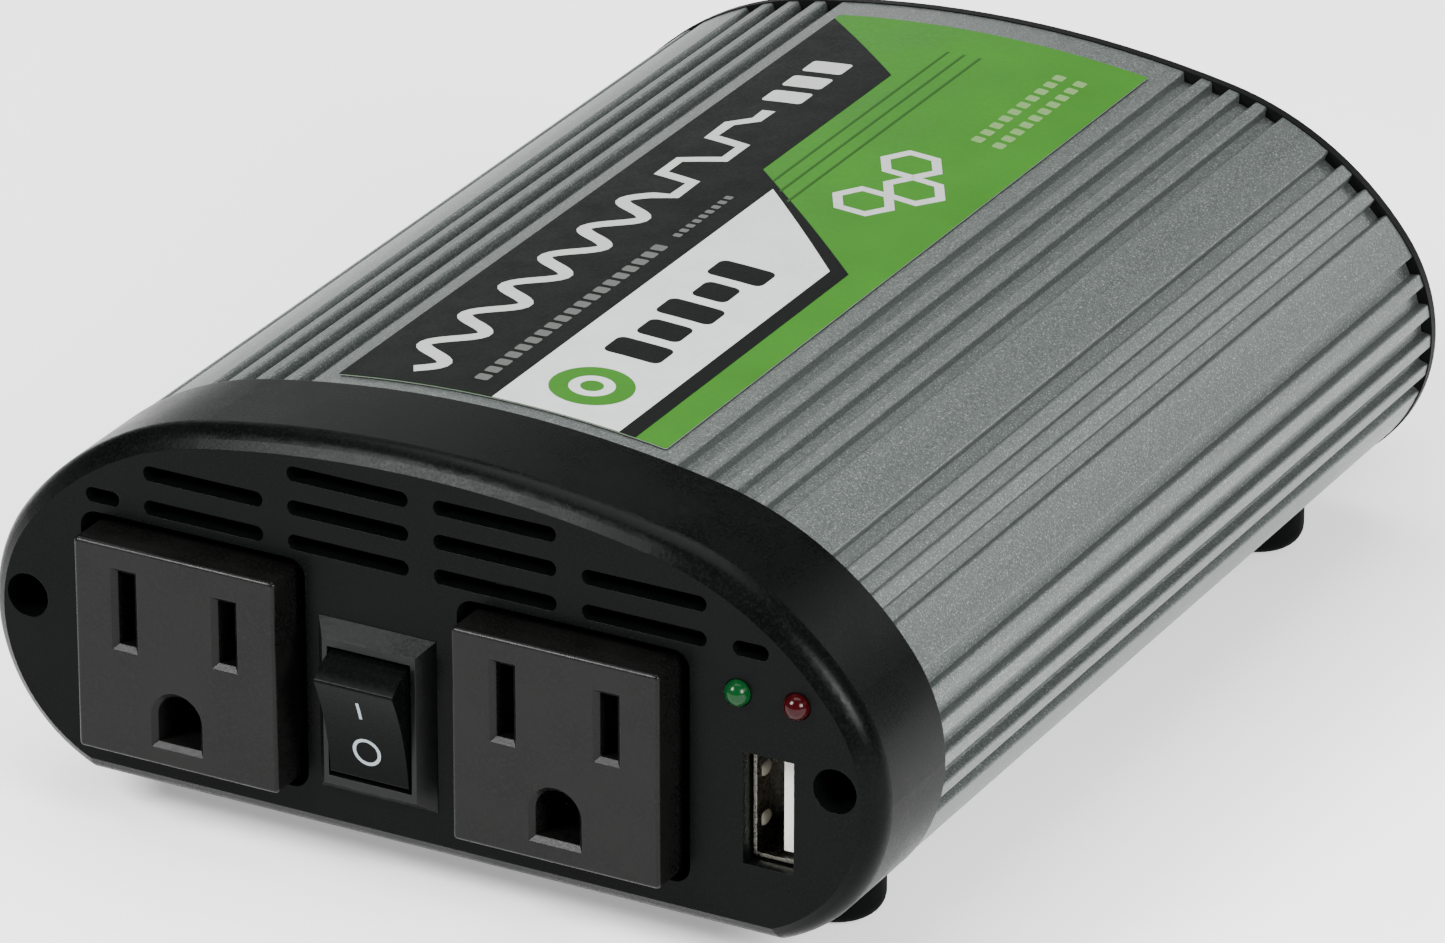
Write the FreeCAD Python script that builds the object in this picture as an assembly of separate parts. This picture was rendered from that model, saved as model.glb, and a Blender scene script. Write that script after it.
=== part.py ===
"""A small DC-to-AC power inverter: a lens-shaped ribbed aluminium case between a moulded
front cap and a flat rear plate.

X runs to the right as seen from the front, Y from the front to the back, and Z up. While it
is built, y = 0 is the flat of the front cap and z = 0 the surface that the feet stand on.
Every piece is then moved along Y, so that the origin is the bottom centre of the whole.
"""
import FreeCAD, Part
import math
import os
from FreeCAD import Vector

# ---- Driving dimensions, in millimetres and degrees ----

# Case section, seen from the front
FOOT_HEIGHT = 5.0
HALF_WIDTH = 55.5
WIDEST_Z = FOOT_HEIGHT + 18.5
LOWER_R = 20.0
UPPER_R = 20.2
SHOULDER_R = 38.2
CROWN_ANGLE = math.radians(11.1)
SHOULDER_ANGLE = math.radians(37)

# Stations along the case
CAP_END_Y = 15.3
CASE_END_Y = 139.7
PLATE_THICKNESS = 1.6
PLATE_BACK_Y = CASE_END_Y + PLATE_THICKNESS

# Housing
SKIN_GAP = 0.15
WALL = 3.0
GROOVE_WIDTH = 2.15
GROOVE_DEPTH = 1.4
GROOVE_DRAFT = 0.23
GROOVE_LIP = 0.33
# each run: distance from the crown along the skin to the first groove, pitch, number
GROOVE_RUNS = ((23.9, 3.7, 4), (44.03, 3.95, 3), (59.98, 3.85, 5))

# Printed label, from its front edge to its rear one; the thickness is above the skin
LABEL_Y = (17.5, 134.8)
LABEL_HALF_WIDTH = 20.4
LABEL_THICKNESS = 0.2

# Front cap
FACE_INSET = 2.15
RIM_CORNER_Y = 1.6
RIM_ROUNDING = 3.0
FACE_THICKNESS = 3.0
RING_THICKNESS = 5.3
RING_INSET = 5.0

# Things in the front face: x to the right, z above the ground
OUTLET_X = (-28.8, 18.55)
OUTLET_Z = FOOT_HEIGHT + 18.5
OUTLET_SIZE = 25.4
OUTLET_REACH = 4.1
OUTLET_DEPTH = 20.0
OUTLET_FLANGE = 28.2
OUTLET_OPENING = (28.4, 27.6)
BLADE_Z = FOOT_HEIGHT + 23.6
BLADE_SPACING = 12.7
BLADE_SLOT_WIDTH = 2.1
NEUTRAL_SLOT_HEIGHT = 8.7
LINE_SLOT_HEIGHT = 7.5
GROUND_DROP = 11.89
GROUND_HOLE_R = 2.7
GROUND_HOLE_FLOOR = 3.2
HOLE_BEVEL = 0.6
SWITCH_X = -5.6
SWITCH_Z = FOOT_HEIGHT + 16.4
SWITCH_CASE = (12.8, 19.0)
USB_X = 42.25
USB_Z = FOOT_HEIGHT + 15.85
USB_Y = 1.9
USB_END_Y = 13.0
USB_SHELL = (5.9, 13.1)
LED_X = (38.58, 45.66)
LED_Z = FOOT_HEIGHT + 29.35
LED_R = 1.5
SCREW_X = 50.2
SCREW_Z = FOOT_HEIGHT + 20.4
OPENING_GAP = 0.1
VENT_HEIGHT = 1.8
VENT_LENGTH = 15.07
VENT_PITCH_X = 18.18
VENT_ROWS_Z = (FOOT_HEIGHT + 34.59, FOOT_HEIGHT + 38.7, FOOT_HEIGHT + 42.73)
SMALL_VENT_X = 40.1
SMALL_VENT_LENGTH = 4.3

# Rocker switch
ROCKER_R = 7.5
ROCKER_WIDTH = 9.8
ROCKER_HALF_SPAN = 58.5
ROCKER_TILT = 15.0
ROCKER_DISH = 0.6
# the bezel's width and height where it meets the face and at its proud edge
BEZEL_FOOT = (14.7, 20.7)
BEZEL_EDGE = (11.6, 17.5)
BEZEL_HEIGHT = 2.0
ROCKER_ROOM = (10.4, 15.6)
LEVER_TILT = 8.0
LEVER_Y = 9.0
# each terminal: height from the pivot and where its inner end starts
SWITCH_BLADES = ((-4.4, 10.05), (0.0, 9.45))

# Fan
FAN_SIZE = 40.0
FAN_DEPTH = 15.0
FAN_Z = FOOT_HEIGHT + 23.1
FAN_BORE_R = 18.9
FAN_HUB_R = 11.5
FAN_BLADES = 7
FAN_SCREW_OFFSET = 16.0
FAN_FLOOR = 1.8
FAN_SLEEVE_R = 3.0
FAN_SLEEVE_LENGTH = 9.5
FAN_SHAFT_R = 0.98
GUARD_RADII = (18.6, 14.4, 10.2)
GUARD_SLOT = 2.4
GUARD_SPOKE = 2.6

# Terminal posts
POST_X = 34.0
POST_XS = (-POST_X, POST_X)
POST_Z = FOOT_HEIGHT + 16.5
STUD_R = 3.0
STUD_HOLE_R = STUD_R + 0.02
NUT_CORNER_R = 5.77
NUT_HEIGHT = 5.0
POST_NECK_R = 4.0
BUS_STRIP_WIDTH = 10.0
BUS_STRIP_THICKNESS = 1.0
KNOB_R = 8.0
KNOB_LENGTH = 14.0
KNOB_FLUTES = 12
FLUTE_R = 1.3
POST_BASE_HEIGHT = 4.2
WASHER_Y = PLATE_BACK_Y + POST_BASE_HEIGHT + 0.05
WASHER_THICKNESS = 1.2
KNOB_Y = WASHER_Y + WASHER_THICKNESS + 0.05
KNOB_END_Y = KNOB_Y + KNOB_LENGTH

# Main board
BOARD_Z = FOOT_HEIGHT + 8.0
BOARD_THICKNESS = 1.6
BOARD_TOP = BOARD_Z + BOARD_THICKNESS
BOARD_HALF_WIDTH = 48.2
BOARD_Y = (32.0, 118.0)

# Feet
FOOT_R = 5.5
FOOT_PLACES = [(x, y) for x in (-40.0, 40.0) for y in (20.0, 126.0)]

# The whole reaches from the proud end of the rocker to the end of the knobs
FRONT_END_Y = -ROCKER_R * math.cos(math.radians(ROCKER_HALF_SPAN - ROCKER_TILT))
MIDDLE_Y = (FRONT_END_Y + KNOB_END_Y) / 2

X_AXIS, Y_AXIS, Z_AXIS = Vector(1, 0, 0), Vector(0, 1, 0), Vector(0, 0, 1)


# ---- Plain shapes ----

def box(x0, x1, y0, y1, z0, z1):
    return Part.makeBox(x1 - x0, y1 - y0, z1 - z0, Vector(x0, y0, z0))


def centred_box(x, z, width, height, y0, y1):
    return box(x - width / 2, x + width / 2, y0, y1, z - height / 2, z + height / 2)


def rod_x(y, z, radius, x0, x1):
    return Part.makeCylinder(radius, x1 - x0, Vector(x0, y, z), X_AXIS)


def rod_y(x, z, radius, y0, y1):
    return Part.makeCylinder(radius, y1 - y0, Vector(x, y0, z), Y_AXIS)


def rod_z(x, y, radius, z0, z1):
    return Part.makeCylinder(radius, z1 - z0, Vector(x, y, z0), Z_AXIS)


def ring_y(x, z, outer, inner, y0, y1):
    return rod_y(x, z, outer, y0, y1).cut(rod_y(x, z, inner, y0 - 1, y1 + 1))


def rounded_box(x, z, width, height, y0, y1, radius):
    """A box whose four edges along Y are rounded."""
    block = centred_box(x, z, width, height, y0, y1)
    along = [e for e in block.Edges if abs(e.tangentAt(e.FirstParameter).y) > 0.99]
    return block.makeFillet(radius, along)


def polygon_prism(points, direction):
    """A prism whose flat end has the given corners and that runs along direction."""
    return Part.Face(Part.makePolygon(points + points[:1])).extrude(direction)


def edges_at_y(shape, y):
    """The edges that lie whole in the plane at y."""
    return [edge for edge in shape.Edges
            if abs(edge.BoundBox.YMin - y) < 1e-3 and abs(edge.BoundBox.YMax - y) < 1e-3]


def mirrored(shape):
    """The same shape on the other side of the case."""
    return shape.mirror(Vector(0, 0, 0), X_AXIS)


def bent_wire(points, bend_radius, radius):
    """A round wire along three points, with one arc at the middle one."""
    start, corner, end = points
    back, ahead = (start - corner).normalize(), (end - corner).normalize()
    half_angle = back.getAngle(ahead) / 2
    reach = bend_radius / math.tan(half_angle)
    centre = corner + (back + ahead).normalize() * (bend_radius / math.sin(half_angle))
    first, last = corner + back * reach, corner + ahead * reach
    middle = centre + (corner - centre).normalize() * bend_radius
    path = Part.Wire([Part.LineSegment(start, first).toShape(),
                      Part.Arc(first, middle, last).toShape(),
                      Part.LineSegment(last, end).toShape()])
    section = Part.Wire(Part.Circle(start, back, radius).toShape())
    return path.makePipeShell([section], True, False)


def countersunk_cross(x, z, y, depth):
    """The cross in the head of a screw that faces the front (depth > 0) or the back."""
    y0, y1 = sorted((y, y + depth))
    return centred_box(x, z, 3.2, 0.8, y0, y1).fuse(centred_box(x, z, 0.8, 3.2, y0, y1))


# ---- The case section ----

def polar(centre, radius, angle):
    """A point in the XZ plane; angle is counted from +X towards +Z."""
    return Vector(centre[0] + radius * math.cos(angle), 0, centre[1] + radius * math.sin(angle))


LOWER_CENTRE = (HALF_WIDTH - LOWER_R, WIDEST_Z)
UPPER_CENTRE = (HALF_WIDTH - UPPER_R, WIDEST_Z)
SHOULDER_CENTRE = (UPPER_CENTRE[0] - (SHOULDER_R - UPPER_R) * math.cos(SHOULDER_ANGLE),
                   UPPER_CENTRE[1] - (SHOULDER_R - UPPER_R) * math.sin(SHOULDER_ANGLE))
CROWN_R = SHOULDER_R + SHOULDER_CENTRE[0] / math.sin(CROWN_ANGLE)
CROWN_CENTRE = (0.0, SHOULDER_CENTRE[1] - (CROWN_R - SHOULDER_R) * math.cos(CROWN_ANGLE))


def outline(inset):
    """The face of the case section, shrunk by inset all round, in the plane y = 0."""
    floor = FOOT_HEIGHT + inset
    corner = -math.asin((WIDEST_Z - floor) / (LOWER_R - inset))
    side_arcs = [(LOWER_CENTRE, LOWER_R - inset, corner, 0.0),
                 (UPPER_CENTRE, UPPER_R - inset, 0.0, SHOULDER_ANGLE),
                 (SHOULDER_CENTRE, SHOULDER_R - inset, SHOULDER_ANGLE, math.pi / 2 - CROWN_ANGLE)]
    right, left = [], []
    for centre, radius, start, end in side_arcs:
        points = [polar(centre, radius, a) for a in (start, (start + end) / 2, end)]
        right.append(Part.Arc(*points).toShape())
        left.append(Part.Arc(*[Vector(-p.x, 0, p.z) for p in reversed(points)]).toShape())
    crown_start = polar(CROWN_CENTRE, CROWN_R - inset, math.pi / 2 - CROWN_ANGLE)
    crown_top = polar(CROWN_CENTRE, CROWN_R - inset, math.pi / 2)
    crown = Part.Arc(crown_start, crown_top, Vector(-crown_start.x, 0, crown_start.z)).toShape()
    floor_right = polar(LOWER_CENTRE, LOWER_R - inset, corner)
    bottom = Part.LineSegment(Vector(-floor_right.x, 0, floor_right.z), floor_right).toShape()
    return Part.Face(Part.Wire([bottom] + right + [crown] + left[::-1]))


def moved_outline(inset, y):
    """The wire of the case section, shrunk by inset, in the plane at y."""
    wire = outline(inset).OuterWire
    wire.translate(Vector(0, y, 0))
    return wire


def prism(inset, y0, y1):
    """The case section from y0 to y1, shrunk by inset."""
    face = outline(inset)
    face.translate(Vector(0, y0, 0))
    return face.extrude(Vector(0, y1 - y0, 0))


def case_ring(outer_inset, inner_inset, y0, y1):
    return prism(outer_inset, y0, y1).cut(prism(inner_inset, y0 - 1, y1 + 1))


def point_on_skin(distance):
    """The point and outward angle on the right side of the skin, that far from the crown."""
    arcs = [(CROWN_CENTRE, CROWN_R, math.pi / 2, math.pi / 2 - CROWN_ANGLE),
            (SHOULDER_CENTRE, SHOULDER_R, math.pi / 2 - CROWN_ANGLE, SHOULDER_ANGLE),
            (UPPER_CENTRE, UPPER_R, SHOULDER_ANGLE, 0.0),
            (LOWER_CENTRE, LOWER_R, 0.0, -math.pi / 2)]
    for centre, radius, start, end in arcs:
        length = radius * (start - end)
        if distance <= length:
            angle = start - distance / radius
            return polar(centre, radius, angle), angle
        distance -= length
    raise ValueError("the distance runs past the skin")


def skin_groove(distance, y0, y1):
    """The cutter of one groove: slightly narrower at its floor, with a bevelled lip."""
    point, angle = point_on_skin(distance)
    out = Vector(math.cos(angle), 0, math.sin(angle))
    along = Vector(math.sin(angle), 0, -math.cos(angle))
    start, above = point + Vector(0, y0, 0), 1.0
    half = GROOVE_WIDTH / 2
    profile = [(half + GROOVE_LIP + above, above), (half, -GROOVE_LIP),
               (half - GROOVE_DRAFT, -GROOVE_DEPTH)]
    profile += [(-across, height) for across, height in reversed(profile)]
    corners = [start + along * across + out * height for across, height in profile]
    return polygon_prism(corners, Vector(0, y1 - y0, 0))


# ---- Case ----

def make_housing():
    """The extruded tube: grooves outside, board rails and screw channels inside."""
    y0, y1 = CAP_END_Y, CASE_END_Y
    tube = case_ring(SKIN_GAP, WALL, y0, y1)
    rail_ends = [(BOARD_Z - 1.5, BOARD_Z - 0.05), (BOARD_TOP + 0.1, BOARD_TOP + 1.6)]
    trim = prism(WALL / 2, y0, y1)
    inner = []
    for z0, z1 in rail_ends:
        rail = box(BOARD_HALF_WIDTH - 2.6, HALF_WIDTH, y0, y1, z0, z1).common(trim)
        inner += [rail, mirrored(rail)]
    channel = rod_y(SCREW_X, SCREW_Z, 3.3, y0, y1).common(trim)
    inner += [channel, mirrored(channel)]
    cutters = []
    for first, pitch, count in GROOVE_RUNS:
        for index in range(count):
            groove = skin_groove(first + index * pitch, y0 - 1, y1 + 1)
            cutters += [groove, mirrored(groove)]
    cutters += [rod_y(x, SCREW_Z, 1.3, y0 - 1, y1 + 1) for x in (-SCREW_X, SCREW_X)]
    cutters += [rod_z(x, y, 1.5, FOOT_HEIGHT - 1, FOOT_HEIGHT + WALL + 1) for x, y in FOOT_PLACES]
    return tube.fuse(inner).cut(cutters).removeSplitter()


def vent_cutters():
    """Obround vents: short rows widen downwards, with a small one at each end of the lowest."""
    def vent(x, z, length):
        return rounded_box(x, z, length, VENT_HEIGHT, -1, RING_THICKNESS + 3, VENT_HEIGHT / 2 - 0.01)

    cutters = []
    for side in (-1, 1):
        inner_x, outer_x = side * VENT_PITCH_X / 2, side * VENT_PITCH_X * 1.5
        cutters += [vent(inner_x, z, VENT_LENGTH) for z in VENT_ROWS_Z]
        cutters += [vent(outer_x, z, VENT_LENGTH) for z in VENT_ROWS_Z[:2]]
        cutters.append(vent(side * SMALL_VENT_X, VENT_ROWS_Z[0], SMALL_VENT_LENGTH))
    return cutters


def make_front_cap():
    """The moulded cap: a flat face whose sloped rim rounds into a band flush with the ribs."""
    rim = Part.makeLoft([outline(FACE_INSET).OuterWire, moved_outline(0, RIM_CORNER_Y)], True, True)
    shell = rim.fuse(prism(0, RIM_CORNER_Y, CAP_END_Y)).removeSplitter()
    shell = shell.makeFillet(RIM_ROUNDING, edges_at_y(shell, RIM_CORNER_Y))
    hollow = prism(WALL, RING_THICKNESS, CAP_END_Y + 1)
    pocket = prism(RING_INSET, FACE_THICKNESS, RING_THICKNESS + 1)
    cap = shell.cut([hollow, pocket])
    # tongues that locate the cap inside the tube, above and below
    skirt = case_ring(WALL + 0.1, WALL + 1.6, CAP_END_Y - 4, CAP_END_Y + 5)
    web = case_ring(WALL - 0.5, WALL + 1.6, CAP_END_Y - 4, CAP_END_Y)
    spans = [box(-38, 38, 0, 40, z0, z0 + 30) for z0 in (FOOT_HEIGHT + 30, FOOT_HEIGHT - 24)]
    tongues = [ring.common(span) for ring in (skirt, web) for span in spans]
    bosses = [rod_y(x, SCREW_Z, 4.0, FACE_THICKNESS - 1, CAP_END_Y).common(prism(1.0, 0, CAP_END_Y))
              for x in (-SCREW_X, SCREW_X)]
    cap = cap.fuse(tongues + bosses)
    cutters = vent_cutters()
    through = (-1, RING_THICKNESS + 0.1)
    cutters += [rounded_box(x, OUTLET_Z + 0.3, *OUTLET_OPENING, *through, 2.0) for x in OUTLET_X]
    for x, z, size in ((SWITCH_X, SWITCH_Z, SWITCH_CASE), (USB_X, USB_Z, USB_SHELL)):
        width, height = (side + 2 * OPENING_GAP for side in size)
        cutters.append(centred_box(x, z, width, height, *through))
    cutters += [rod_y(x, LED_Z, LED_R + 0.08, *through) for x in LED_X]
    for x in (-SCREW_X, SCREW_X):
        cutters += [rod_y(x, SCREW_Z, 2.6, -1, 8.0), rod_y(x, SCREW_Z, 1.6, 7.0, CAP_END_Y + 1)]
    return cap.cut(cutters).removeSplitter()


def make_rear_plate():
    """The flat plate with a finger guard of arcs in front of the fan."""
    plate = prism(0, CASE_END_Y, PLATE_BACK_Y)
    plate = plate.makeFillet(0.6, edges_at_y(plate, PLATE_BACK_Y))
    y0, y1 = CASE_END_Y - 1, PLATE_BACK_Y + 1
    slots = [ring_y(0, FAN_Z, outer, outer - GUARD_SLOT, y0, y1) for outer in GUARD_RADII]
    spoke = centred_box(0, FAN_Z, GUARD_SPOKE, FAN_SIZE + 4, y0 - 1, y1 + 1)
    spokes = [spoke.copy() for _ in range(2)]
    for turn, bar in zip((45, -45), spokes):
        bar.rotate(Vector(0, 0, FAN_Z), Y_AXIS, turn)
    cutters = [slot.cut(spokes) for slot in slots]
    cutters += [rod_y(x, z, 1.75, y0, y1) for x, z in fan_screw_places()]
    cutters += [rod_y(x, SCREW_Z, 1.7, y0, y1) for x in (-SCREW_X, SCREW_X)]
    cutters += [rod_y(x, POST_Z, POST_NECK_R + 0.05, y0, y1) for x in POST_XS]
    return plate.cut(cutters)


def make_label():
    """A thin printed sheet that follows the crown of the tube."""
    sheet = case_ring(-LABEL_THICKNESS, SKIN_GAP, *LABEL_Y)
    return sheet.common(box(-LABEL_HALF_WIDTH, LABEL_HALF_WIDTH, 0, CASE_END_Y, WIDEST_Z, 80))


def case_screw(x, z, head_y, head_height, head_r, shank_r, tip_y):
    """A pan-head screw along Y; head_y is under its head, and its tip lies at tip_y."""
    facing = 1 if head_y > tip_y else -1
    top_y = head_y + facing * head_height
    head = rod_y(x, z, head_r, min(head_y, top_y), max(head_y, top_y))
    head = head.makeFillet(head_height * 0.45, edges_at_y(head, top_y))
    shank = rod_y(x, z, shank_r, min(head_y, tip_y), max(head_y, tip_y))
    return head.fuse(shank).cut(countersunk_cross(x, z, top_y, -facing * head_height * 0.55))


def fan_screw_places():
    return [(sx * FAN_SCREW_OFFSET, FAN_Z + sz * FAN_SCREW_OFFSET) for sx in (-1, 1) for sz in (-1, 1)]


def make_feet():
    feet = []
    for x, y in FOOT_PLACES:
        foot = rod_z(x, y, FOOT_R, 0, FOOT_HEIGHT)
        lower_edge = [e for e in foot.Edges if e.BoundBox.ZMax < 1e-3]
        foot = foot.makeFillet(2.3, lower_edge)
        feet.append(foot.cut([rod_z(x, y, 2.1, -1, 2.6), rod_z(x, y, 1.5, 0, FOOT_HEIGHT + 1)]))
    return Part.makeCompound(feet)


def make_foot_screws():
    screws = []
    for x, y in FOOT_PLACES:
        head = rod_z(x, y, 2.0, 0.7, 2.55)
        cross = [box(x - 1.4, x + 1.4, y - 0.35, y + 0.35, 0.5, 1.6),
                 box(x - 0.35, x + 0.35, y - 1.4, y + 1.4, 0.5, 1.6)]
        shank = rod_z(x, y, 1.46, 2.5, FOOT_HEIGHT + WALL + 1.2)
        screws.append(head.fuse(shank).cut(cross))
    return Part.makeCompound(screws)


# ---- Outlets ----

def bevelled_hole(profile_at, bevel, mouth_y, end_y):
    """A hole along Y, whose mouth widens by bevel; profile_at(grow, y) gives its wire."""
    mouth = Part.makeLoft([profile_at(bevel, mouth_y - 0.01), profile_at(0, mouth_y + bevel)], True, True)
    straight = Part.Face(profile_at(0, mouth_y + bevel * 0.9)).extrude(Vector(0, end_y - mouth_y, 0))
    return mouth.fuse(straight)


def blade_profile(x, height):
    """The upright slot for one flat blade."""
    def wire(grow, y):
        w, h = BLADE_SLOT_WIDTH / 2 + grow, height / 2 + grow
        corners = [Vector(x + sx * w, y, BLADE_Z + sz * h)
                   for sx, sz in ((-1, -1), (1, -1), (1, 1), (-1, 1))]
        return Part.makePolygon(corners + corners[:1])
    return wire


def ground_profile(x):
    """The D-shaped hole for the round ground pin: an arched top over a flat bottom."""
    z = BLADE_Z - GROUND_DROP

    def wire(grow, y):
        r, bottom = GROUND_HOLE_R + grow, z - GROUND_HOLE_FLOOR - grow
        left, right, top = Vector(x - r, y, z), Vector(x + r, y, z), Vector(x, y, z + r)
        low_left, low_right = Vector(x - r, y, bottom), Vector(x + r, y, bottom)
        return Part.Wire([Part.LineSegment(low_left, low_right).toShape(),
                          Part.LineSegment(low_right, right).toShape(),
                          Part.Arc(right, top, left).toShape(),
                          Part.LineSegment(left, low_left).toShape()])
    return wire


def outlet_contacts(outlet_x):
    """Where each contact of one outlet sits: name, x, z, gap between leaves, leaf height."""
    ground_z = BLADE_Z - GROUND_DROP
    return [("neutral", outlet_x - BLADE_SPACING / 2, BLADE_Z, 2.2, 7.0),
            ("line", outlet_x + BLADE_SPACING / 2, BLADE_Z, 2.2, 6.0),
            ("ground", outlet_x, ground_z, 5.0, 5.0)]


def make_outlet_body(outlet_x):
    face_y, room_y, flange_y = -OUTLET_REACH, 2.3, RING_THICKNESS + 0.1
    block = rounded_box(outlet_x, OUTLET_Z, OUTLET_SIZE, OUTLET_SIZE, face_y, OUTLET_DEPTH, 0.5)
    block = block.makeFillet(0.45, edges_at_y(block, face_y))
    flange = rounded_box(outlet_x, OUTLET_Z, OUTLET_FLANGE, OUTLET_FLANGE, flange_y, flange_y + 1.5, 1.0)
    profiles = [blade_profile(outlet_x - BLADE_SPACING / 2, NEUTRAL_SLOT_HEIGHT),
                blade_profile(outlet_x + BLADE_SPACING / 2, LINE_SLOT_HEIGHT),
                ground_profile(outlet_x)]
    holes = [bevelled_hole(profile, HOLE_BEVEL, face_y, room_y) for profile in profiles]
    rooms = [centred_box(x, z, gap + 2.0, height + 1.6, room_y, OUTLET_DEPTH + 1)
             for _, x, z, gap, height in outlet_contacts(outlet_x)]
    return block.fuse(flange).cut(holes + rooms)


def make_outlet_covers():
    """The lids that close the contact rooms from behind."""
    covers = []
    for outlet_x in OUTLET_X:
        lid = rounded_box(outlet_x, OUTLET_Z, OUTLET_SIZE, OUTLET_SIZE,
                          OUTLET_DEPTH, OUTLET_DEPTH + 2, 0.5)
        tails = [centred_box(x, z, 1.2, 4.6, OUTLET_DEPTH - 1, OUTLET_DEPTH + 3)
                 for _, x, z, _, _ in outlet_contacts(outlet_x)]
        covers.append(lid.cut(tails))
    return Part.makeCompound(covers)


def make_contacts(kind):
    """The brass contacts of one kind: two spring leaves on a base, and a tail to the back."""
    contacts = []
    for outlet_x in OUTLET_X:
        for name, x, z, gap, height in outlet_contacts(outlet_x):
            if name != kind:
                continue
            leaf = 0.6
            pieces = [centred_box(x + side * (gap + leaf) / 2, z, leaf, height, 3.0, 17.5)
                      for side in (-1, 1)]
            base = centred_box(x, z, gap + 2 * leaf, height, 17.0, 17.8)
            tail = centred_box(x, z, 0.8, 4.0, 17.4, 27.0)
            contacts.append(pieces[0].fuse([pieces[1], base, tail]).removeSplitter())
    return Part.makeCompound(contacts)


def make_outlet_leads():
    """Short insulated leads from the contact tails down to the main board."""
    leads = []
    for outlet_x in OUTLET_X:
        for name, x, z, _, _ in outlet_contacts(outlet_x):
            bend = 1.2 if name == "ground" else 5.0
            landing = Vector(x, BOARD_Y[0] + 4, BOARD_TOP)
            points = [Vector(x, 27.05, z), Vector(x, landing.y, z), landing]
            leads.append(bent_wire(points, bend, 0.75))
    return Part.makeCompound(leads)


# ---- Rocker switch ----

def make_switch_body():
    """The snap-in switch case: a bevelled bezel in front and a box behind the panel."""
    def frame(width, height, y):
        corners = [Vector(SWITCH_X + sx * width / 2, y, SWITCH_Z + sz * height / 2)
                   for sx, sz in ((-1, -1), (1, -1), (1, 1), (-1, 1))]
        return Part.makePolygon(corners + corners[:1])

    bezel = Part.makeLoft([frame(*BEZEL_FOOT, -0.02), frame(*BEZEL_EDGE, -BEZEL_HEIGHT)], True, True)
    case = centred_box(SWITCH_X, SWITCH_Z, *SWITCH_CASE, -0.02, 13.0)
    room = centred_box(SWITCH_X, SWITCH_Z, *ROCKER_ROOM, -BEZEL_HEIGHT - 1, 11.5)
    bearings = rod_x(0.0, SWITCH_Z, 1.3, SWITCH_X - 6.2, SWITCH_X + 6.2)
    wings = [polygon_prism([Vector(SWITCH_X - 4, FACE_THICKNESS + 0.1, SWITCH_Z + side * 9.4),
                            Vector(SWITCH_X - 4, FACE_THICKNESS + 0.1, SWITCH_Z + side * 10.3),
                            Vector(SWITCH_X - 4, FACE_THICKNESS + 5.0, SWITCH_Z + side * 9.4)],
                           Vector(8, 0, 0)) for side in (-1, 1)]
    blades = [centred_box(SWITCH_X, SWITCH_Z + dz, 4.9, 0.9, 11.0, 14.0) for dz, _ in SWITCH_BLADES]
    return bezel.fuse([case] + wings).cut([room, bearings] + blades)


def make_rocker():
    """The rocker at OFF: a drum section with a dished face, on two trunnions."""
    def rim(angle):
        a = math.radians(angle)
        return Vector(SWITCH_X - ROCKER_WIDTH / 2, -ROCKER_R * math.cos(a),
                      SWITCH_Z + ROCKER_R * math.sin(a))

    top, bottom = rim(ROCKER_HALF_SPAN - ROCKER_TILT), rim(-ROCKER_HALF_SPAN - ROCKER_TILT)
    tilt = math.radians(ROCKER_TILT)
    dish = (top + bottom) / 2 + Vector(0, math.cos(tilt), math.sin(tilt)) * ROCKER_DISH
    back_top, back_bottom = rim(148 - ROCKER_TILT), rim(-148 - ROCKER_TILT)
    edges = [Part.Arc(bottom, dish, top).toShape(),
             Part.Arc(top, rim(103 - ROCKER_TILT), back_top).toShape(),
             Part.LineSegment(back_top, back_bottom).toShape(),
             Part.Arc(back_bottom, rim(-103 - ROCKER_TILT), bottom).toShape()]
    drum = Part.Face(Part.Wire(edges)).extrude(Vector(ROCKER_WIDTH, 0, 0))
    sharp = [e for e in drum.Edges if e.BoundBox.YMax < -1 and e.BoundBox.XLength > 9]
    drum = drum.makeFillet(0.35, sharp)
    return drum.fuse(rod_x(0.0, SWITCH_Z, 1.25, SWITCH_X - 6.1, SWITCH_X + 6.1))


def make_switch_plunger():
    """The sprung pin in the rocker's back that tips the contact lever."""
    pin = rod_y(SWITCH_X, SWITCH_Z, 1.0, ROCKER_R * math.cos(math.radians(32)) + 0.01, 7.1)
    pin.rotate(Vector(SWITCH_X, 0, SWITCH_Z), X_AXIS, ROCKER_TILT)
    return pin


def make_contact_lever():
    """The see-saw strip, with its round pivot, that joins the two terminals when the switch is on."""
    strip = box(SWITCH_X - 2.2, SWITCH_X + 2.2, LEVER_Y - 0.6, LEVER_Y - 0.1, SWITCH_Z - 5, SWITCH_Z + 5)
    pads = [rod_y(SWITCH_X, SWITCH_Z + side * 4.2, 0.9, LEVER_Y - 0.2, LEVER_Y + 0.3) for side in (-1, 1)]
    pivot = rod_x(LEVER_Y, SWITCH_Z, 0.3, SWITCH_X - 3.0, SWITCH_X + 3.0)
    lever = strip.fuse(pads + [pivot])
    lever.rotate(Vector(SWITCH_X, LEVER_Y, SWITCH_Z), X_AXIS, -LEVER_TILT)
    return lever


def make_switch_terminals():
    blades = []
    for dz, start_y in SWITCH_BLADES:
        blade = centred_box(SWITCH_X, SWITCH_Z + dz, 4.8, 0.8, start_y, 21.0)
        blades.append(blade.cut(rod_z(SWITCH_X, 18.5, 0.8, SWITCH_Z + dz - 2, SWITCH_Z + dz + 2)))
    return Part.makeCompound(blades)


# ---- USB socket and lamps ----

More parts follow.
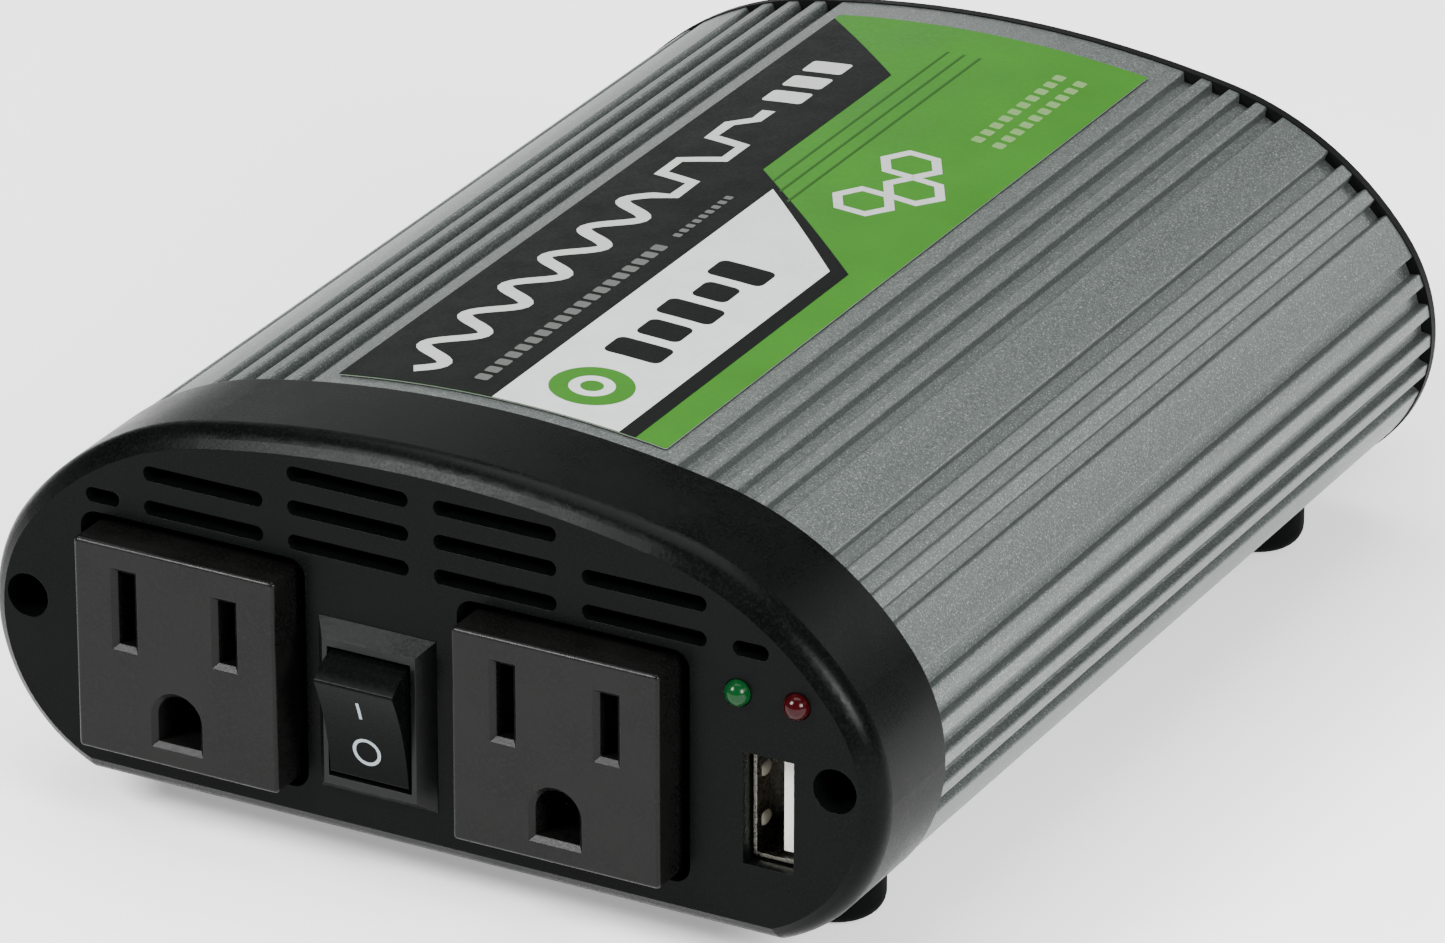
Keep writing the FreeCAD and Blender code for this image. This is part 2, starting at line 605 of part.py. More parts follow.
def make_usb_shell():
    """The plated shell, set back in its opening, with a thick rolled lip in front."""
    width, height = USB_SHELL
    shell = rounded_box(USB_X, USB_Z, width, height, USB_Y, USB_END_Y, 0.5)
    mouth = centred_box(USB_X, USB_Z, width - 1.2, height - 1.2, USB_Y - 1, USB_Y + 1.2)
    hollow = centred_box(USB_X, USB_Z, width - 0.7, height - 0.7, USB_Y + 1.0, USB_END_Y - 0.6)
    outer = edges_at_y(shell, USB_Y)
    return shell.makeFillet(0.2, outer).cut([mouth, hollow])


def make_usb_tongue():
    """The insulating tongue, with its block at the back of the shell."""
    tongue = box(USB_X + 0.45, USB_X + 2.0, USB_Y + 0.9, USB_END_Y - 2, USB_Z - 5.5, USB_Z + 5.5)
    block = centred_box(USB_X, USB_Z, 5.1, 12.3, USB_END_Y - 2.5, USB_END_Y - 0.6)
    return tongue.fuse(block)


def make_usb_contacts():
    """Four flat contacts on the tongue."""
    strips = [box(USB_X + 0.25, USB_X + 0.45, USB_Y + 1.5, USB_END_Y - 2.5,
                  USB_Z + dz - 0.5, USB_Z + dz + 0.5) for dz in (-3.5, -1.0, 1.0, 3.5)]
    return Part.makeCompound(strips)


def make_led(x):
    """A lamp with a domed tip that stands proud of the face."""
    body = rod_y(x, LED_Z, LED_R, 0.0, 6.5)
    dome = Part.makeSphere(LED_R, Vector(x, 0.0, LED_Z))
    collar = rod_y(x, LED_Z, 1.9, RING_THICKNESS + 0.15, 6.5)
    return body.fuse([dome, collar])


def make_led_leads():
    leads = [rod_y(x + side * 0.64, LED_Z, 0.25, 6.5, 13.4) for x in LED_X for side in (-1, 1)]
    return Part.makeCompound(leads)


def make_front_board():
    """The small board behind the lamps and the USB socket."""
    board = box(36.0, 47.2, 13.4, 15.0, FOOT_HEIGHT + 8.6, FOOT_HEIGHT + 31.0)
    return board.cut(rod_y(SCREW_X, SCREW_Z, 4.3, 10, 18))


# ---- Fan ----

def make_fan_frame():
    y0, y1 = CASE_END_Y - FAN_DEPTH, CASE_END_Y
    frame = rounded_box(0, FAN_Z, FAN_SIZE, FAN_SIZE, y0, y1, 3.0)
    waist = rounded_box(0, FAN_Z, FAN_SIZE + 4, FAN_SIZE + 4, y0 + 3, y1 - 3, 1.0)
    waist = waist.cut(rod_y(0, FAN_Z, FAN_SIZE / 2, y0, y1))
    ears = [rod_y(x, z, 3.4, y0, y1) for x, z in fan_screw_places()]
    frame = frame.cut([waist, rod_y(0, FAN_Z, FAN_BORE_R, y0 - 1, y1 + 1)])
    frame = frame.fuse([ear.cut(rod_y(0, FAN_Z, FAN_BORE_R, y0 - 1, y1 + 1)) for ear in ears])
    seat = rod_y(0, FAN_Z, FAN_HUB_R - 1, y0, y0 + FAN_FLOOR)
    struts = []
    for turn in (90, 210, 330):
        strut = box(8, FAN_BORE_R + 1, y0, y0 + FAN_FLOOR, FAN_Z - 1.1, FAN_Z + 1.1)
        strut.rotate(Vector(0, 0, FAN_Z), Y_AXIS, turn)
        struts.append(strut)
    sleeve = rod_y(0, FAN_Z, FAN_SLEEVE_R, y0 + 1, y0 + FAN_SLEEVE_LENGTH)
    frame = frame.fuse([seat, sleeve] + struts)
    holes = [rod_y(x, z, 1.5, y0 - 1, y1 + 1) for x, z in fan_screw_places()]
    return frame.cut(holes + [rod_y(0, FAN_Z, 2.0, y0 + 1.2, y0 + 10)]).removeSplitter()


def make_fan_bearing():
    y0 = CASE_END_Y - FAN_DEPTH
    return ring_y(0, FAN_Z, 1.98, FAN_SHAFT_R + 0.06, y0 + 1.3, y0 + FAN_SLEEVE_LENGTH)


def make_fan_stator():
    """The wound core on the sleeve: a hub with four wide poles."""
    y0 = CASE_END_Y - FAN_DEPTH
    core = rod_y(0, FAN_Z, 5.0, y0 + 3, y0 + 8)
    poles = []
    for turn in range(0, 360, 90):
        pole = box(4, 9.0, y0 + 3, y0 + 8, FAN_Z - 3.2, FAN_Z + 3.2)
        pole.rotate(Vector(0, 0, FAN_Z), Y_AXIS, turn)
        poles.append(pole)
    core = core.fuse(poles).common(rod_y(0, FAN_Z, 9.2, y0, y0 + 9))
    return core.cut(rod_y(0, FAN_Z, FAN_SLEEVE_R + 0.02, y0, y0 + 10)).removeSplitter()


def make_fan_impeller():
    """The hub cup with its slanted blades."""
    y0, y1 = CASE_END_Y - FAN_DEPTH + 2.6, CASE_END_Y - 1.2
    cup = rod_y(0, FAN_Z, FAN_HUB_R, y0, y1)
    cup = cup.makeFillet(1.0, edges_at_y(cup, y1))
    cup = cup.cut(rod_y(0, FAN_Z, FAN_HUB_R - 1.4, y0 - 1, y1 - 1.6))
    reach = ring_y(0, FAN_Z, FAN_BORE_R - 0.6, FAN_HUB_R - 0.8, y0, y1)
    blade = box(FAN_HUB_R - 0.6, FAN_BORE_R + 1, -7.6, 7.6, -0.45, 0.45)
    blade.rotate(Vector(0, 0, 0), X_AXIS, 48)
    blade.translate(Vector(0, (y0 + y1) / 2, FAN_Z))
    blades = []
    for index in range(FAN_BLADES):
        one = blade.copy()
        one.rotate(Vector(0, 0, FAN_Z), Y_AXIS, index * 360 / FAN_BLADES)
        blades.append(one.common(reach))
    return cup.fuse(blades).cut(rod_y(0, FAN_Z, FAN_SHAFT_R, y1 - 2, y1 - 0.6)).removeSplitter()


def make_fan_shaft():
    y0 = CASE_END_Y - FAN_DEPTH
    return rod_y(0, FAN_Z, FAN_SHAFT_R, y0 + 1.6, CASE_END_Y - 1.85)


# ---- Terminal posts ----

def stud_hole(x, radius):
    return rod_y(x, POST_Z, radius, CASE_END_Y - 10, PLATE_BACK_Y + 10)


def make_post_bases():
    """The insulators: a collar outside, with a neck through the plate."""
    bases = []
    for x in POST_XS:
        collar = rod_y(x, POST_Z, KNOB_R, PLATE_BACK_Y, PLATE_BACK_Y + POST_BASE_HEIGHT)
        collar = collar.makeFillet(0.8, edges_at_y(collar, PLATE_BACK_Y + POST_BASE_HEIGHT))
        neck = rod_y(x, POST_Z, POST_NECK_R, CASE_END_Y - 2.5, PLATE_BACK_Y + 1)
        bases.append(collar.fuse(neck).cut(stud_hole(x, STUD_HOLE_R)))
    return Part.makeCompound(bases)


def make_inner_washers():
    rings = [ring_y(x, POST_Z, 7.0, POST_NECK_R + 0.05, CASE_END_Y - 2.5, CASE_END_Y) for x in POST_XS]
    return Part.makeCompound(rings)


def make_studs():
    studs = []
    for x in POST_XS:
        stud = rod_y(x, POST_Z, STUD_R, CASE_END_Y - 9.5, KNOB_END_Y - 2.4)
        studs.append(stud.makeChamfer(0.5, edges_at_y(stud, KNOB_END_Y - 2.4)))
    return Part.makeCompound(studs)


def make_post_nuts():
    nuts = []
    for x in POST_XS:
        corners = [polar((x, POST_Z), NUT_CORNER_R, math.radians(60 * k)) + Vector(0, CASE_END_Y - 8.5, 0)
                   for k in range(6)]
        nuts.append(polygon_prism(corners, Y_AXIS * NUT_HEIGHT).cut(stud_hole(x, STUD_HOLE_R)))
    return Part.makeCompound(nuts)


def make_bus_strips():
    """Copper strips from each stud down to the board."""
    strips = []
    y0, y1 = CASE_END_Y - 3.5, CASE_END_Y - 3.5 + BUS_STRIP_THICKNESS
    for x in POST_XS:
        x0, x1 = x - BUS_STRIP_WIDTH / 2, x + BUS_STRIP_WIDTH / 2
        upright = box(x0, x1, y0, y1, BOARD_TOP, POST_Z + BUS_STRIP_WIDTH / 2)
        foot = box(x0, x1, BOARD_Y[1] - 8, y1, BOARD_TOP, BOARD_TOP + BUS_STRIP_THICKNESS)
        strips.append(upright.fuse(foot).cut(stud_hole(x, STUD_R + 0.05)).removeSplitter())
    return Part.makeCompound(strips)


def make_captive_washer(x):
    return ring_y(x, POST_Z, 7.2, STUD_R + 0.08, WASHER_Y, WASHER_Y + WASHER_THICKNESS)


def make_knob(x):
    """The fluted knob: a blind bore from its inner end takes the stud."""
    knob = rod_y(x, POST_Z, KNOB_R, KNOB_Y, KNOB_END_Y)
    knob = knob.makeFillet(1.2, edges_at_y(knob, KNOB_END_Y))
    flutes = []
    for index in range(KNOB_FLUTES):
        axis = polar((x, POST_Z), KNOB_R + 0.5, math.tau * index / KNOB_FLUTES)
        flutes.append(rod_y(axis.x, axis.z, FLUTE_R, KNOB_Y + 3.0, KNOB_END_Y + 1))
    bore = rod_y(x, POST_Z, STUD_R + 0.06, KNOB_Y - 1, KNOB_END_Y - 2.0)
    return knob.cut(flutes + [bore])


# ---- Electronics ----

def make_main_board():
    return box(-BOARD_HALF_WIDTH, BOARD_HALF_WIDTH, BOARD_Y[0], BOARD_Y[1], BOARD_Z, BOARD_TOP)


CORE_X, CORE_Y = -12.0, 62.0
CORE_Z = (BOARD_TOP + 2.6, BOARD_TOP + 21.6)
CORE_YOKE = 4.0
LEG_WIDTH, LEG_DEPTH = 10.0, 14.0
WINDOW_WIDTH = 22.0
COIL_DEPTH = 27.0


def transformer_block(width, depth, z0, z1):
    return box(CORE_X - width / 2, CORE_X + width / 2, CORE_Y - depth / 2, CORE_Y + depth / 2, z0, z1)


def make_transformer_core():
    """A ferrite core with two windows beside its middle leg."""
    z0, z1 = CORE_Z
    block = transformer_block(WINDOW_WIDTH + LEG_WIDTH, LEG_DEPTH, z0, z1)
    window = transformer_block(WINDOW_WIDTH, LEG_DEPTH + 2, z0 + CORE_YOKE, z1 - CORE_YOKE)
    return block.cut(window.cut(transformer_block(LEG_WIDTH, LEG_DEPTH + 4, z0, z1)))


def make_transformer_bobbin():
    """The coil former: a tube, two flanges and two pin rails that stand on the board."""
    z0, z1 = CORE_Z[0] + CORE_YOKE + 0.1, CORE_Z[1] - CORE_YOKE - 0.1
    width = WINDOW_WIDTH - 0.2
    tube = transformer_block(LEG_WIDTH + 2.2, LEG_DEPTH + 2.2, z0, z1)
    flanges = [transformer_block(width, COIL_DEPTH, z, z + 0.9) for z in (z0, z1 - 0.9)]
    rail_y = COIL_DEPTH / 2 - 1
    rails = [box(CORE_X - width / 2, CORE_X + width / 2, CORE_Y + side * rail_y - 1,
                 CORE_Y + side * rail_y + 1, BOARD_TOP, z0 + 0.5) for side in (-1, 1)]
    leg_hole = transformer_block(LEG_WIDTH + 0.2, LEG_DEPTH + 0.2, 0, 60)
    return tube.fuse(flanges + rails).cut(leg_hole).removeSplitter()


def make_transformer_winding():
    z0, z1 = CORE_Z[0] + CORE_YOKE + 1.05, CORE_Z[1] - CORE_YOKE - 1.05
    coil = transformer_block(WINDOW_WIDTH - 0.6, COIL_DEPTH - 0.8, z0, z1)
    upright = [e for e in coil.Edges if e.BoundBox.ZLength > 5]
    return coil.makeFillet(3.5, upright).cut(transformer_block(LEG_WIDTH + 2.3, LEG_DEPTH + 2.3, 0, 60))


def electrolytic(x, y, radius, height):
    """A round can with a rolled waist near its foot."""
    can = rod_z(x, y, radius, BOARD_TOP, BOARD_TOP + height)
    top = [e for e in can.Edges if e.BoundBox.ZMin > BOARD_TOP + height - 1e-3]
    waist = Part.makeTorus(radius + 0.3, 0.7, Vector(x, y, BOARD_TOP + 2.5))
    return can.makeFillet(0.8, top).cut(waist)


# One row along the left wall: heat bar, transistors, clip. The tabs touch the bar's face.
TRANSISTOR_X = -41.5
TRANSISTOR_YS = (44.0, 60.0, 76.0, 92.0)
CLIP_SCREW_YS = (52.0, 84.0)
CLIP_SCREW_Z = BOARD_TOP + 9.0
LEG_PITCH = 2.54


def make_transistor(y):
    """A three-legged power transistor, its tab against the heat bar."""
    x = TRANSISTOR_X
    tab = box(x, x + 1.3, y - 5, y + 5, BOARD_TOP + 4, BOARD_TOP + 19.5)
    body = box(x + 1.2, x + 4.5, y - 5, y + 5, BOARD_TOP + 4, BOARD_TOP + 13.2)
    legs = [box(x + 2.4, x + 2.9, y + dy - 0.4, y + dy + 0.4, BOARD_TOP, BOARD_TOP + 4.1)
            for dy in (-LEG_PITCH, 0, LEG_PITCH)]
    hole = rod_x(y, BOARD_TOP + 16.8, 1.8, x - 1, x + 3)
    return tab.fuse([body] + legs).cut(hole).removeSplitter()


def make_heat_bar():
    """The bar that carries the transistors' heat to the tube."""
    x = TRANSISTOR_X - 0.1
    bar = box(x - 3.0, x, 38, 98, BOARD_TOP + 1.7, BOARD_TOP + 21)
    return bar.cut([rod_x(y, CLIP_SCREW_Z, 1.3, x - 9, x + 2) for y in CLIP_SCREW_YS])


def make_transistor_clip():
    x = TRANSISTOR_X + 4.6
    clip = box(x, x + 1.0, 40, 96, CLIP_SCREW_Z - 3, CLIP_SCREW_Z + 3)
    return clip.cut([rod_x(y, CLIP_SCREW_Z, 1.6, x - 9, x + 6) for y in CLIP_SCREW_YS])


def make_clip_screws():
    x = TRANSISTOR_X + 5.65
    screws = []
    for y in CLIP_SCREW_YS:
        shank = rod_x(y, CLIP_SCREW_Z, 1.25, x - 8.55, x + 0.05)
        screws.append(shank.fuse(rod_x(y, CLIP_SCREW_Z, 2.4, x, x + 1.65)))
    return Part.makeCompound(screws)


FUSE_X, FUSE_YS = 12.0, (96.0, 108.0)
PRONG_OFFSET = 5.0


def make_fuse_clips():
    """A pair of forked clips for each blade fuse."""
    clips = []
    for y in FUSE_YS:
        for side in (-1, 1):
            x = FUSE_X + side * PRONG_OFFSET
            block = box(x - 2.6, x + 2.6, y - 1.6, y + 1.6, BOARD_TOP, BOARD_TOP + 8)
            clips.append(block.cut(box(x - 3, x + 3, y - 0.42, y + 0.42, BOARD_TOP + 2, BOARD_TOP + 9)))
    return Part.makeCompound(clips)


def make_fuses():
    """Blade fuses: a flat body on two prongs."""
    fuses = []
    for y in FUSE_YS:
        body = box(FUSE_X - 9, FUSE_X + 9, y - 2.4, y + 2.4, BOARD_TOP + 8.6, BOARD_TOP + 18.5)
        prongs = [box(x - 2.5, x + 2.5, y - 0.35, y + 0.35, BOARD_TOP + 2.4, BOARD_TOP + 9)
                  for x in (FUSE_X - PRONG_OFFSET, FUSE_X + PRONG_OFFSET)]
        fuses.append(body.fuse(prongs).removeSplitter())
    return Part.makeCompound(fuses)


CHOKE_X, CHOKE_Y, CHOKE_Z = 20.0, 76.0, BOARD_TOP + 1.6
CHOKE_OUTER, CHOKE_INNER, CHOKE_HEIGHT = 9.0, 5.0, 7.0


def make_choke_core():
    outer = rod_z(CHOKE_X, CHOKE_Y, CHOKE_OUTER, CHOKE_Z, CHOKE_Z + CHOKE_HEIGHT)
    return outer.cut(rod_z(CHOKE_X, CHOKE_Y, CHOKE_INNER, CHOKE_Z - 1, CHOKE_Z + CHOKE_HEIGHT + 1))


def make_choke_winding():
    """Square turns of thick wire round the toroid."""
    turns, wire, gap = 12, 1.1, 0.05
    loops = []
    for index in range(turns):
        outer = box(CHOKE_INNER - gap - wire, CHOKE_OUTER + gap + wire, -wire / 2, wire / 2,
                    CHOKE_Z - gap - wire, CHOKE_Z + CHOKE_HEIGHT + gap + wire)
        inner = box(CHOKE_INNER - gap, CHOKE_OUTER + gap, -wire, wire,
                    CHOKE_Z - gap, CHOKE_Z + CHOKE_HEIGHT + gap)
        loop = outer.cut(inner)
        loop.rotate(Vector(0, 0, 0), Z_AXIS, index * 360 / turns)
        loop.translate(Vector(CHOKE_X, CHOKE_Y, 0))
        loops.append(loop)
    return Part.makeCompound(loops)


CONTROL_Y = 88.0
BUZZER_X, BUZZER_Y = -20.0, 106.0


def make_control_board():
    """The upright logic board."""
    return box(-28.0, 2.0, CONTROL_Y, CONTROL_Y + 1.6, BOARD_TOP, BOARD_TOP + 19)


def make_controller_chips():
    chips = [box(x, x + 9, CONTROL_Y - 1.8, CONTROL_Y, BOARD_TOP + 7, BOARD_TOP + 12)
             for x in (-25.0, -11.0)]
    return Part.makeCompound(chips)


def make_buzzer():
    case = rod_z(BUZZER_X, BUZZER_Y, 6.0, BOARD_TOP, BOARD_TOP + 9)
    return case.cut(rod_z(BUZZER_X, BUZZER_Y, 1.2, BOARD_TOP + 6, BOARD_TOP + 10))


def make_board_insulator():
    """The sheet between the solder side of the board and the tube's floor."""
    return box(-40.0, 40.0, BOARD_Y[0], BOARD_Y[1], FOOT_HEIGHT + WALL + 1.2, FOOT_HEIGHT + WALL + 1.6)


# ---- All pieces ----

def all_parts():
    parts = {
        "housing": make_housing(),
        "front_cap": make_front_cap(),
        "rear_plate": make_rear_plate(),
        "top_label": make_label(),
        "rubber_feet": make_feet(),
        "foot_screws": make_foot_screws(),
        "front_screws": Part.makeCompound([case_screw(x, SCREW_Z, 8.0, 1.9, 2.45, 1.25, 24.0)
                                           for x in (-SCREW_X, SCREW_X)]),
        "rear_screws": Part.makeCompound([case_screw(x, SCREW_Z, PLATE_BACK_Y, 1.9, 2.8, 1.25, 126.0)
                                          for x in (-SCREW_X, SCREW_X)]),
        "left_outlet_body": make_outlet_body(OUTLET_X[0]),
        "right_outlet_body": make_outlet_body(OUTLET_X[1]),
        "outlet_covers": make_outlet_covers(),
        "neutral_contacts": make_contacts("neutral"),
        "line_contacts": make_contacts("line"),
        "ground_contacts": make_contacts("ground"),
        "outlet_leads": make_outlet_leads(),
        "switch_body": make_switch_body(),
        "switch_rocker": make_rocker(),
        "switch_plunger": make_switch_plunger(),
        "switch_contact_lever": make_contact_lever(),
        "switch_terminals": make_switch_terminals(),
        "usb_shell": make_usb_shell(),
        "usb_tongue": make_usb_tongue(),
        "usb_contacts": make_usb_contacts(),
        "green_led": make_led(LED_X[0]),
        "red_led": make_led(LED_X[1]),
        "led_leads": make_led_leads(),
        "front_board": make_front_board(),
        "fan_frame": make_fan_frame(),
        "fan_bearing": make_fan_bearing(),
        "fan_stator": make_fan_stator(),
        "fan_impeller": make_fan_impeller(),
        "fan_shaft": make_fan_shaft(),
        "fan_screws": Part.makeCompound([
            case_screw(x, z, PLATE_BACK_Y, 1.7, 2.6, 1.45, CASE_END_Y - FAN_DEPTH + 1)
            for x, z in fan_screw_places()]),
        "post_bases": make_post_bases(),
        "post_inner_washers": make_inner_washers(),
        "post_studs": make_studs(),
        "post_nuts": make_post_nuts(),
        "bus_strips": make_bus_strips(),
        "main_board": make_main_board(),
        "board_insulator": make_board_insulator(),
        "transformer_core": make_transformer_core(),
        "transformer_bobbin": make_transformer_bobbin(),
        "transformer_winding": make_transformer_winding(),
        "input_capacitors": Part.makeCompound([electrolytic(37.5, y, 6.5, 20.0)
                                               for y in (62.0, 77.0, 92.0)]),
        "output_capacitor": electrolytic(22.0, 50.0, 9.0, 20.0),
        "power_transistors": Part.makeCompound([make_transistor(y) for y in TRANSISTOR_YS]),
        "heat_bar": make_heat_bar(),
        "transistor_clip": make_transistor_clip(),
        "clip_screws": make_clip_screws(),
        "fuse_clips": make_fuse_clips(),
        "blade_fuses": make_fuses(),
        "choke_core": make_choke_core(),
        "choke_winding": make_choke_winding(),
        "control_board": make_control_board(),
        "controller_chips": make_controller_chips(),
        "buzzer": make_buzzer(),
    }
    for colour, x in (("black", -POST_X), ("red", POST_X)):
        parts[colour + "_post_washer"] = make_captive_washer(x)
        parts[colour + "_post_knob"] = make_knob(x)
    return parts


def main():
    os.makedirs("parts", exist_ok=True)
    for name, shape in all_parts().items():
        shape.translate(Vector(0, -MIDDLE_Y, 0))
        if not shape.isValid():
            print("not valid:", name)
        print(f"{name}: {len(shape.Solids)} solid(s), {shape.Volume:.1f} mm3")
        shape.exportStep(f"parts/{name}.step")
    print(f"face plane y = {-MIDDLE_Y:.3f}, back end y = {KNOB_END_Y - MIDDLE_Y:.3f}")


main()
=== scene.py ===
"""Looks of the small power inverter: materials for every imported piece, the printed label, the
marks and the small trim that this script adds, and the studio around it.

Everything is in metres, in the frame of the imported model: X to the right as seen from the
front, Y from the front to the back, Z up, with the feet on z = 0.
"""
import math

import bmesh
import bpy
from mathutils import Matrix, Vector


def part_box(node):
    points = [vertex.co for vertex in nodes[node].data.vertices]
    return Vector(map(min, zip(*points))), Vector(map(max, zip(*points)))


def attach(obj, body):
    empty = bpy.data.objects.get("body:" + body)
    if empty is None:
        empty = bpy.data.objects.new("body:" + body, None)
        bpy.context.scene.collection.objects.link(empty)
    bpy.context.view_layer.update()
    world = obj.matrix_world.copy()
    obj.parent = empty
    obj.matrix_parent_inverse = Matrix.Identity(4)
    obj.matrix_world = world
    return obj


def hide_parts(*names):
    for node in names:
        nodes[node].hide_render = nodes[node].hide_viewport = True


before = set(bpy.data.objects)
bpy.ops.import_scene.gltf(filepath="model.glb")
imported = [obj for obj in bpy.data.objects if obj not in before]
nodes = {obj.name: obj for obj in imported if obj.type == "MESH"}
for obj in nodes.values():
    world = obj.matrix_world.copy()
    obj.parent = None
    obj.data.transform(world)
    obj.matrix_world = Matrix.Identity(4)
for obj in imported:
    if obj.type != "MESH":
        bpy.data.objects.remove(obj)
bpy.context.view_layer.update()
MM = 0.001


# ---- Camera ----

CAMERA_PLACE = Vector((0.470097, -0.878661, 0.484799))
CAMERA_AZIMUTH = math.radians(28.416)
CAMERA_ELEVATION = math.radians(25.022)
CAMERA_LENS, SENSOR_WIDTH = 239.25, 36.0


def make_camera():
    data = bpy.data.cameras.new("camera")
    data.sensor_fit = "HORIZONTAL"
    data.sensor_width = SENSOR_WIDTH
    data.lens = CAMERA_LENS
    data.clip_start, data.clip_end = 0.05, 50.0
    camera = bpy.data.objects.new("camera", data)
    bpy.context.scene.collection.objects.link(camera)
    azimuth, elevation = CAMERA_AZIMUTH, CAMERA_ELEVATION
    level = math.cos(elevation)
    back = Vector((math.sin(azimuth) * level, -math.cos(azimuth) * level, math.sin(elevation)))
    right = Vector((math.cos(azimuth), math.sin(azimuth), 0.0))
    turn = Matrix((right, back.cross(right), back)).transposed()
    camera.matrix_world = Matrix.Translation(CAMERA_PLACE) @ turn.to_4x4()
    bpy.context.scene.camera = camera


make_camera()


# ---- Materials ----

MIX_FACTOR, MIX_A, MIX_B, MIX_RESULT = 0, 6, 7, 2   # the colour sockets of a Mix node


class Shader:
    """A Principled material with object-space noise for its colour, roughness and bump."""

    def __init__(self, name):
        self.material = bpy.data.materials.new(name)
        self.material.use_nodes = True
        self.tree = self.material.node_tree
        self.tree.nodes.clear()
        self.out = self.tree.nodes.new("ShaderNodeOutputMaterial")
        self.bsdf = self.tree.nodes.new("ShaderNodeBsdfPrincipled")
        self.link(self.bsdf.outputs[0], self.out.inputs["Surface"])
        self.where = self.tree.nodes.new("ShaderNodeTexCoord").outputs["Object"]
        self.normal = None

    def link(self, a, b):
        self.tree.links.new(a, b)

    def stretched(self, stretch):
        mapping = self.tree.nodes.new("ShaderNodeMapping")
        mapping.inputs["Scale"].default_value = stretch
        self.link(self.where, mapping.inputs["Vector"])
        return mapping.outputs[0]

    def noise(self, scale, detail, roughness, stretch=(1, 1, 1)):
        node = self.tree.nodes.new("ShaderNodeTexNoise")
        node.inputs["Scale"].default_value = scale
        node.inputs["Detail"].default_value = detail
        node.inputs["Roughness"].default_value = roughness
        self.link(self.stretched(stretch), node.inputs["Vector"])
        return node.outputs["Fac"]

    def remap(self, value, low, high, low_in=0.25, high_in=0.75):
        node = self.tree.nodes.new("ShaderNodeMapRange")
        node.inputs["From Min"].default_value = low_in
        node.inputs["From Max"].default_value = high_in
        node.inputs["To Min"].default_value = low
        node.inputs["To Max"].default_value = high
        self.link(value, node.inputs["Value"])
        return node.outputs["Result"]

    def mix(self, factor, a, b):
        """Two colours or sockets, mixed by a number or a socket."""
        node = self.tree.nodes.new("ShaderNodeMix")
        node.data_type = "RGBA"
        for index, value in ((MIX_FACTOR, factor), (MIX_A, a), (MIX_B, b)):
            if isinstance(value, bpy.types.NodeSocket):
                self.link(value, node.inputs[index])
            elif index == MIX_FACTOR:
                node.inputs[index].default_value = value
            else:
                node.inputs[index].default_value = (*value, 1.0)
        return node.outputs[MIX_RESULT]

    def colour(self, value):
        self.link(value, self.bsdf.inputs["Base Color"])

    def rounded_edges(self, radius):
        """Light the sharp edges as if they were worn to that radius."""
        node = self.tree.nodes.new("ShaderNodeBevel")
        node.samples = 4
        node.inputs["Radius"].default_value = radius
        self.use_normal(node.outputs["Normal"])

    def use_normal(self, socket):
        self.normal = socket
        self.link(socket, self.bsdf.inputs["Normal"])

    def bump(self, height, depth):
        node = self.tree.nodes.new("ShaderNodeBump")
        node.inputs["Strength"].default_value = 1.0
        node.inputs["Distance"].default_value = depth
        self.link(height, node.inputs["Height"])
        if self.normal is not None:
            self.link(self.normal, node.inputs["Normal"])
        self.use_normal(node.outputs["Normal"])

    def set(self, **values):
        for key, value in values.items():
            self.bsdf.inputs[key.replace("_", " ")].default_value = value


def shade(tint, factor):
    return tuple(c * factor for c in tint)


ROUGH_SPREAD = 0.08


def plain_finish(name, tint, rough, metallic=0.0, mottle=0.12, mottle_scale=90.0, grain=2600.0,
                 grain_depth=6e-6, stretch=(1, 1, 1), edge=0.0, fleck=0.0, **settings):
    """Moulded, cast or rolled stock: slow mottling, fine grain, and roughness that varies.

    mottle and fleck say how far the tint strays, grain how fine the grain is, grain_depth how deep
    it is in metres, and edge to what radius the sharp edges are worn."""
    s = Shader(name)
    slow = s.noise(mottle_scale, 4.0, 0.6, stretch)
    fine = s.noise(grain, 2.0, 0.6, stretch)
    base = s.mix(s.remap(slow, 0.0, 1.0), shade(tint, 1 - mottle), shade(tint, 1 + mottle))
    if fleck:
        flecks = s.remap(fine, 0.0, 1.0, low_in=0.5, high_in=0.75)
        base = s.mix(flecks, base, shade(tint, 1 + fleck))
    s.colour(base)
    s.link(s.remap(s.mix(0.5, slow, fine), rough - ROUGH_SPREAD, rough + ROUGH_SPREAD, 0.35, 0.65),
           s.bsdf.inputs["Roughness"])
    if edge:
        s.rounded_edges(edge)
    s.bump(fine, grain_depth)
    s.set(Metallic=metallic, **settings)
    return s.material


def anodised():
    """Bead-blasted and anodised extrusion: bright flecks, faint die lines along the length."""
    s = Shader("anodised_aluminium")
    slow = s.noise(38.0, 3.0, 0.5, (1, 0.2, 1))
    lines = s.noise(900.0, 2.0, 0.6, (1, 0.012, 1))
    grain = s.noise(3300.0, 1.0, 0.7)
    fleck = s.noise(5200.0, 0.0, 0.5)
    base = s.mix(s.remap(slow, 0.0, 1.0), (0.088, 0.102, 0.096), (0.110, 0.125, 0.118))
    base = s.mix(s.remap(lines, 0.0, 0.45), base, (0.057, 0.067, 0.063))
    base = s.mix(s.remap(grain, 0.0, 0.65, low_in=0.40, high_in=0.72), base, (0.165, 0.183, 0.173))
    base = s.mix(s.remap(fleck, 0.0, 0.8, low_in=0.60, high_in=0.80), base, (0.30, 0.325, 0.312))
    s.colour(base)
    s.link(s.remap(grain, 0.33, 0.47), s.bsdf.inputs["Roughness"])
    s.rounded_edges(2.6e-4)
    s.bump(grain, 1.6e-5)
    s.bump(lines, 3e-6)
    s.set(Metallic=0.76, Specular_IOR_Level=0.3)
    return s.material


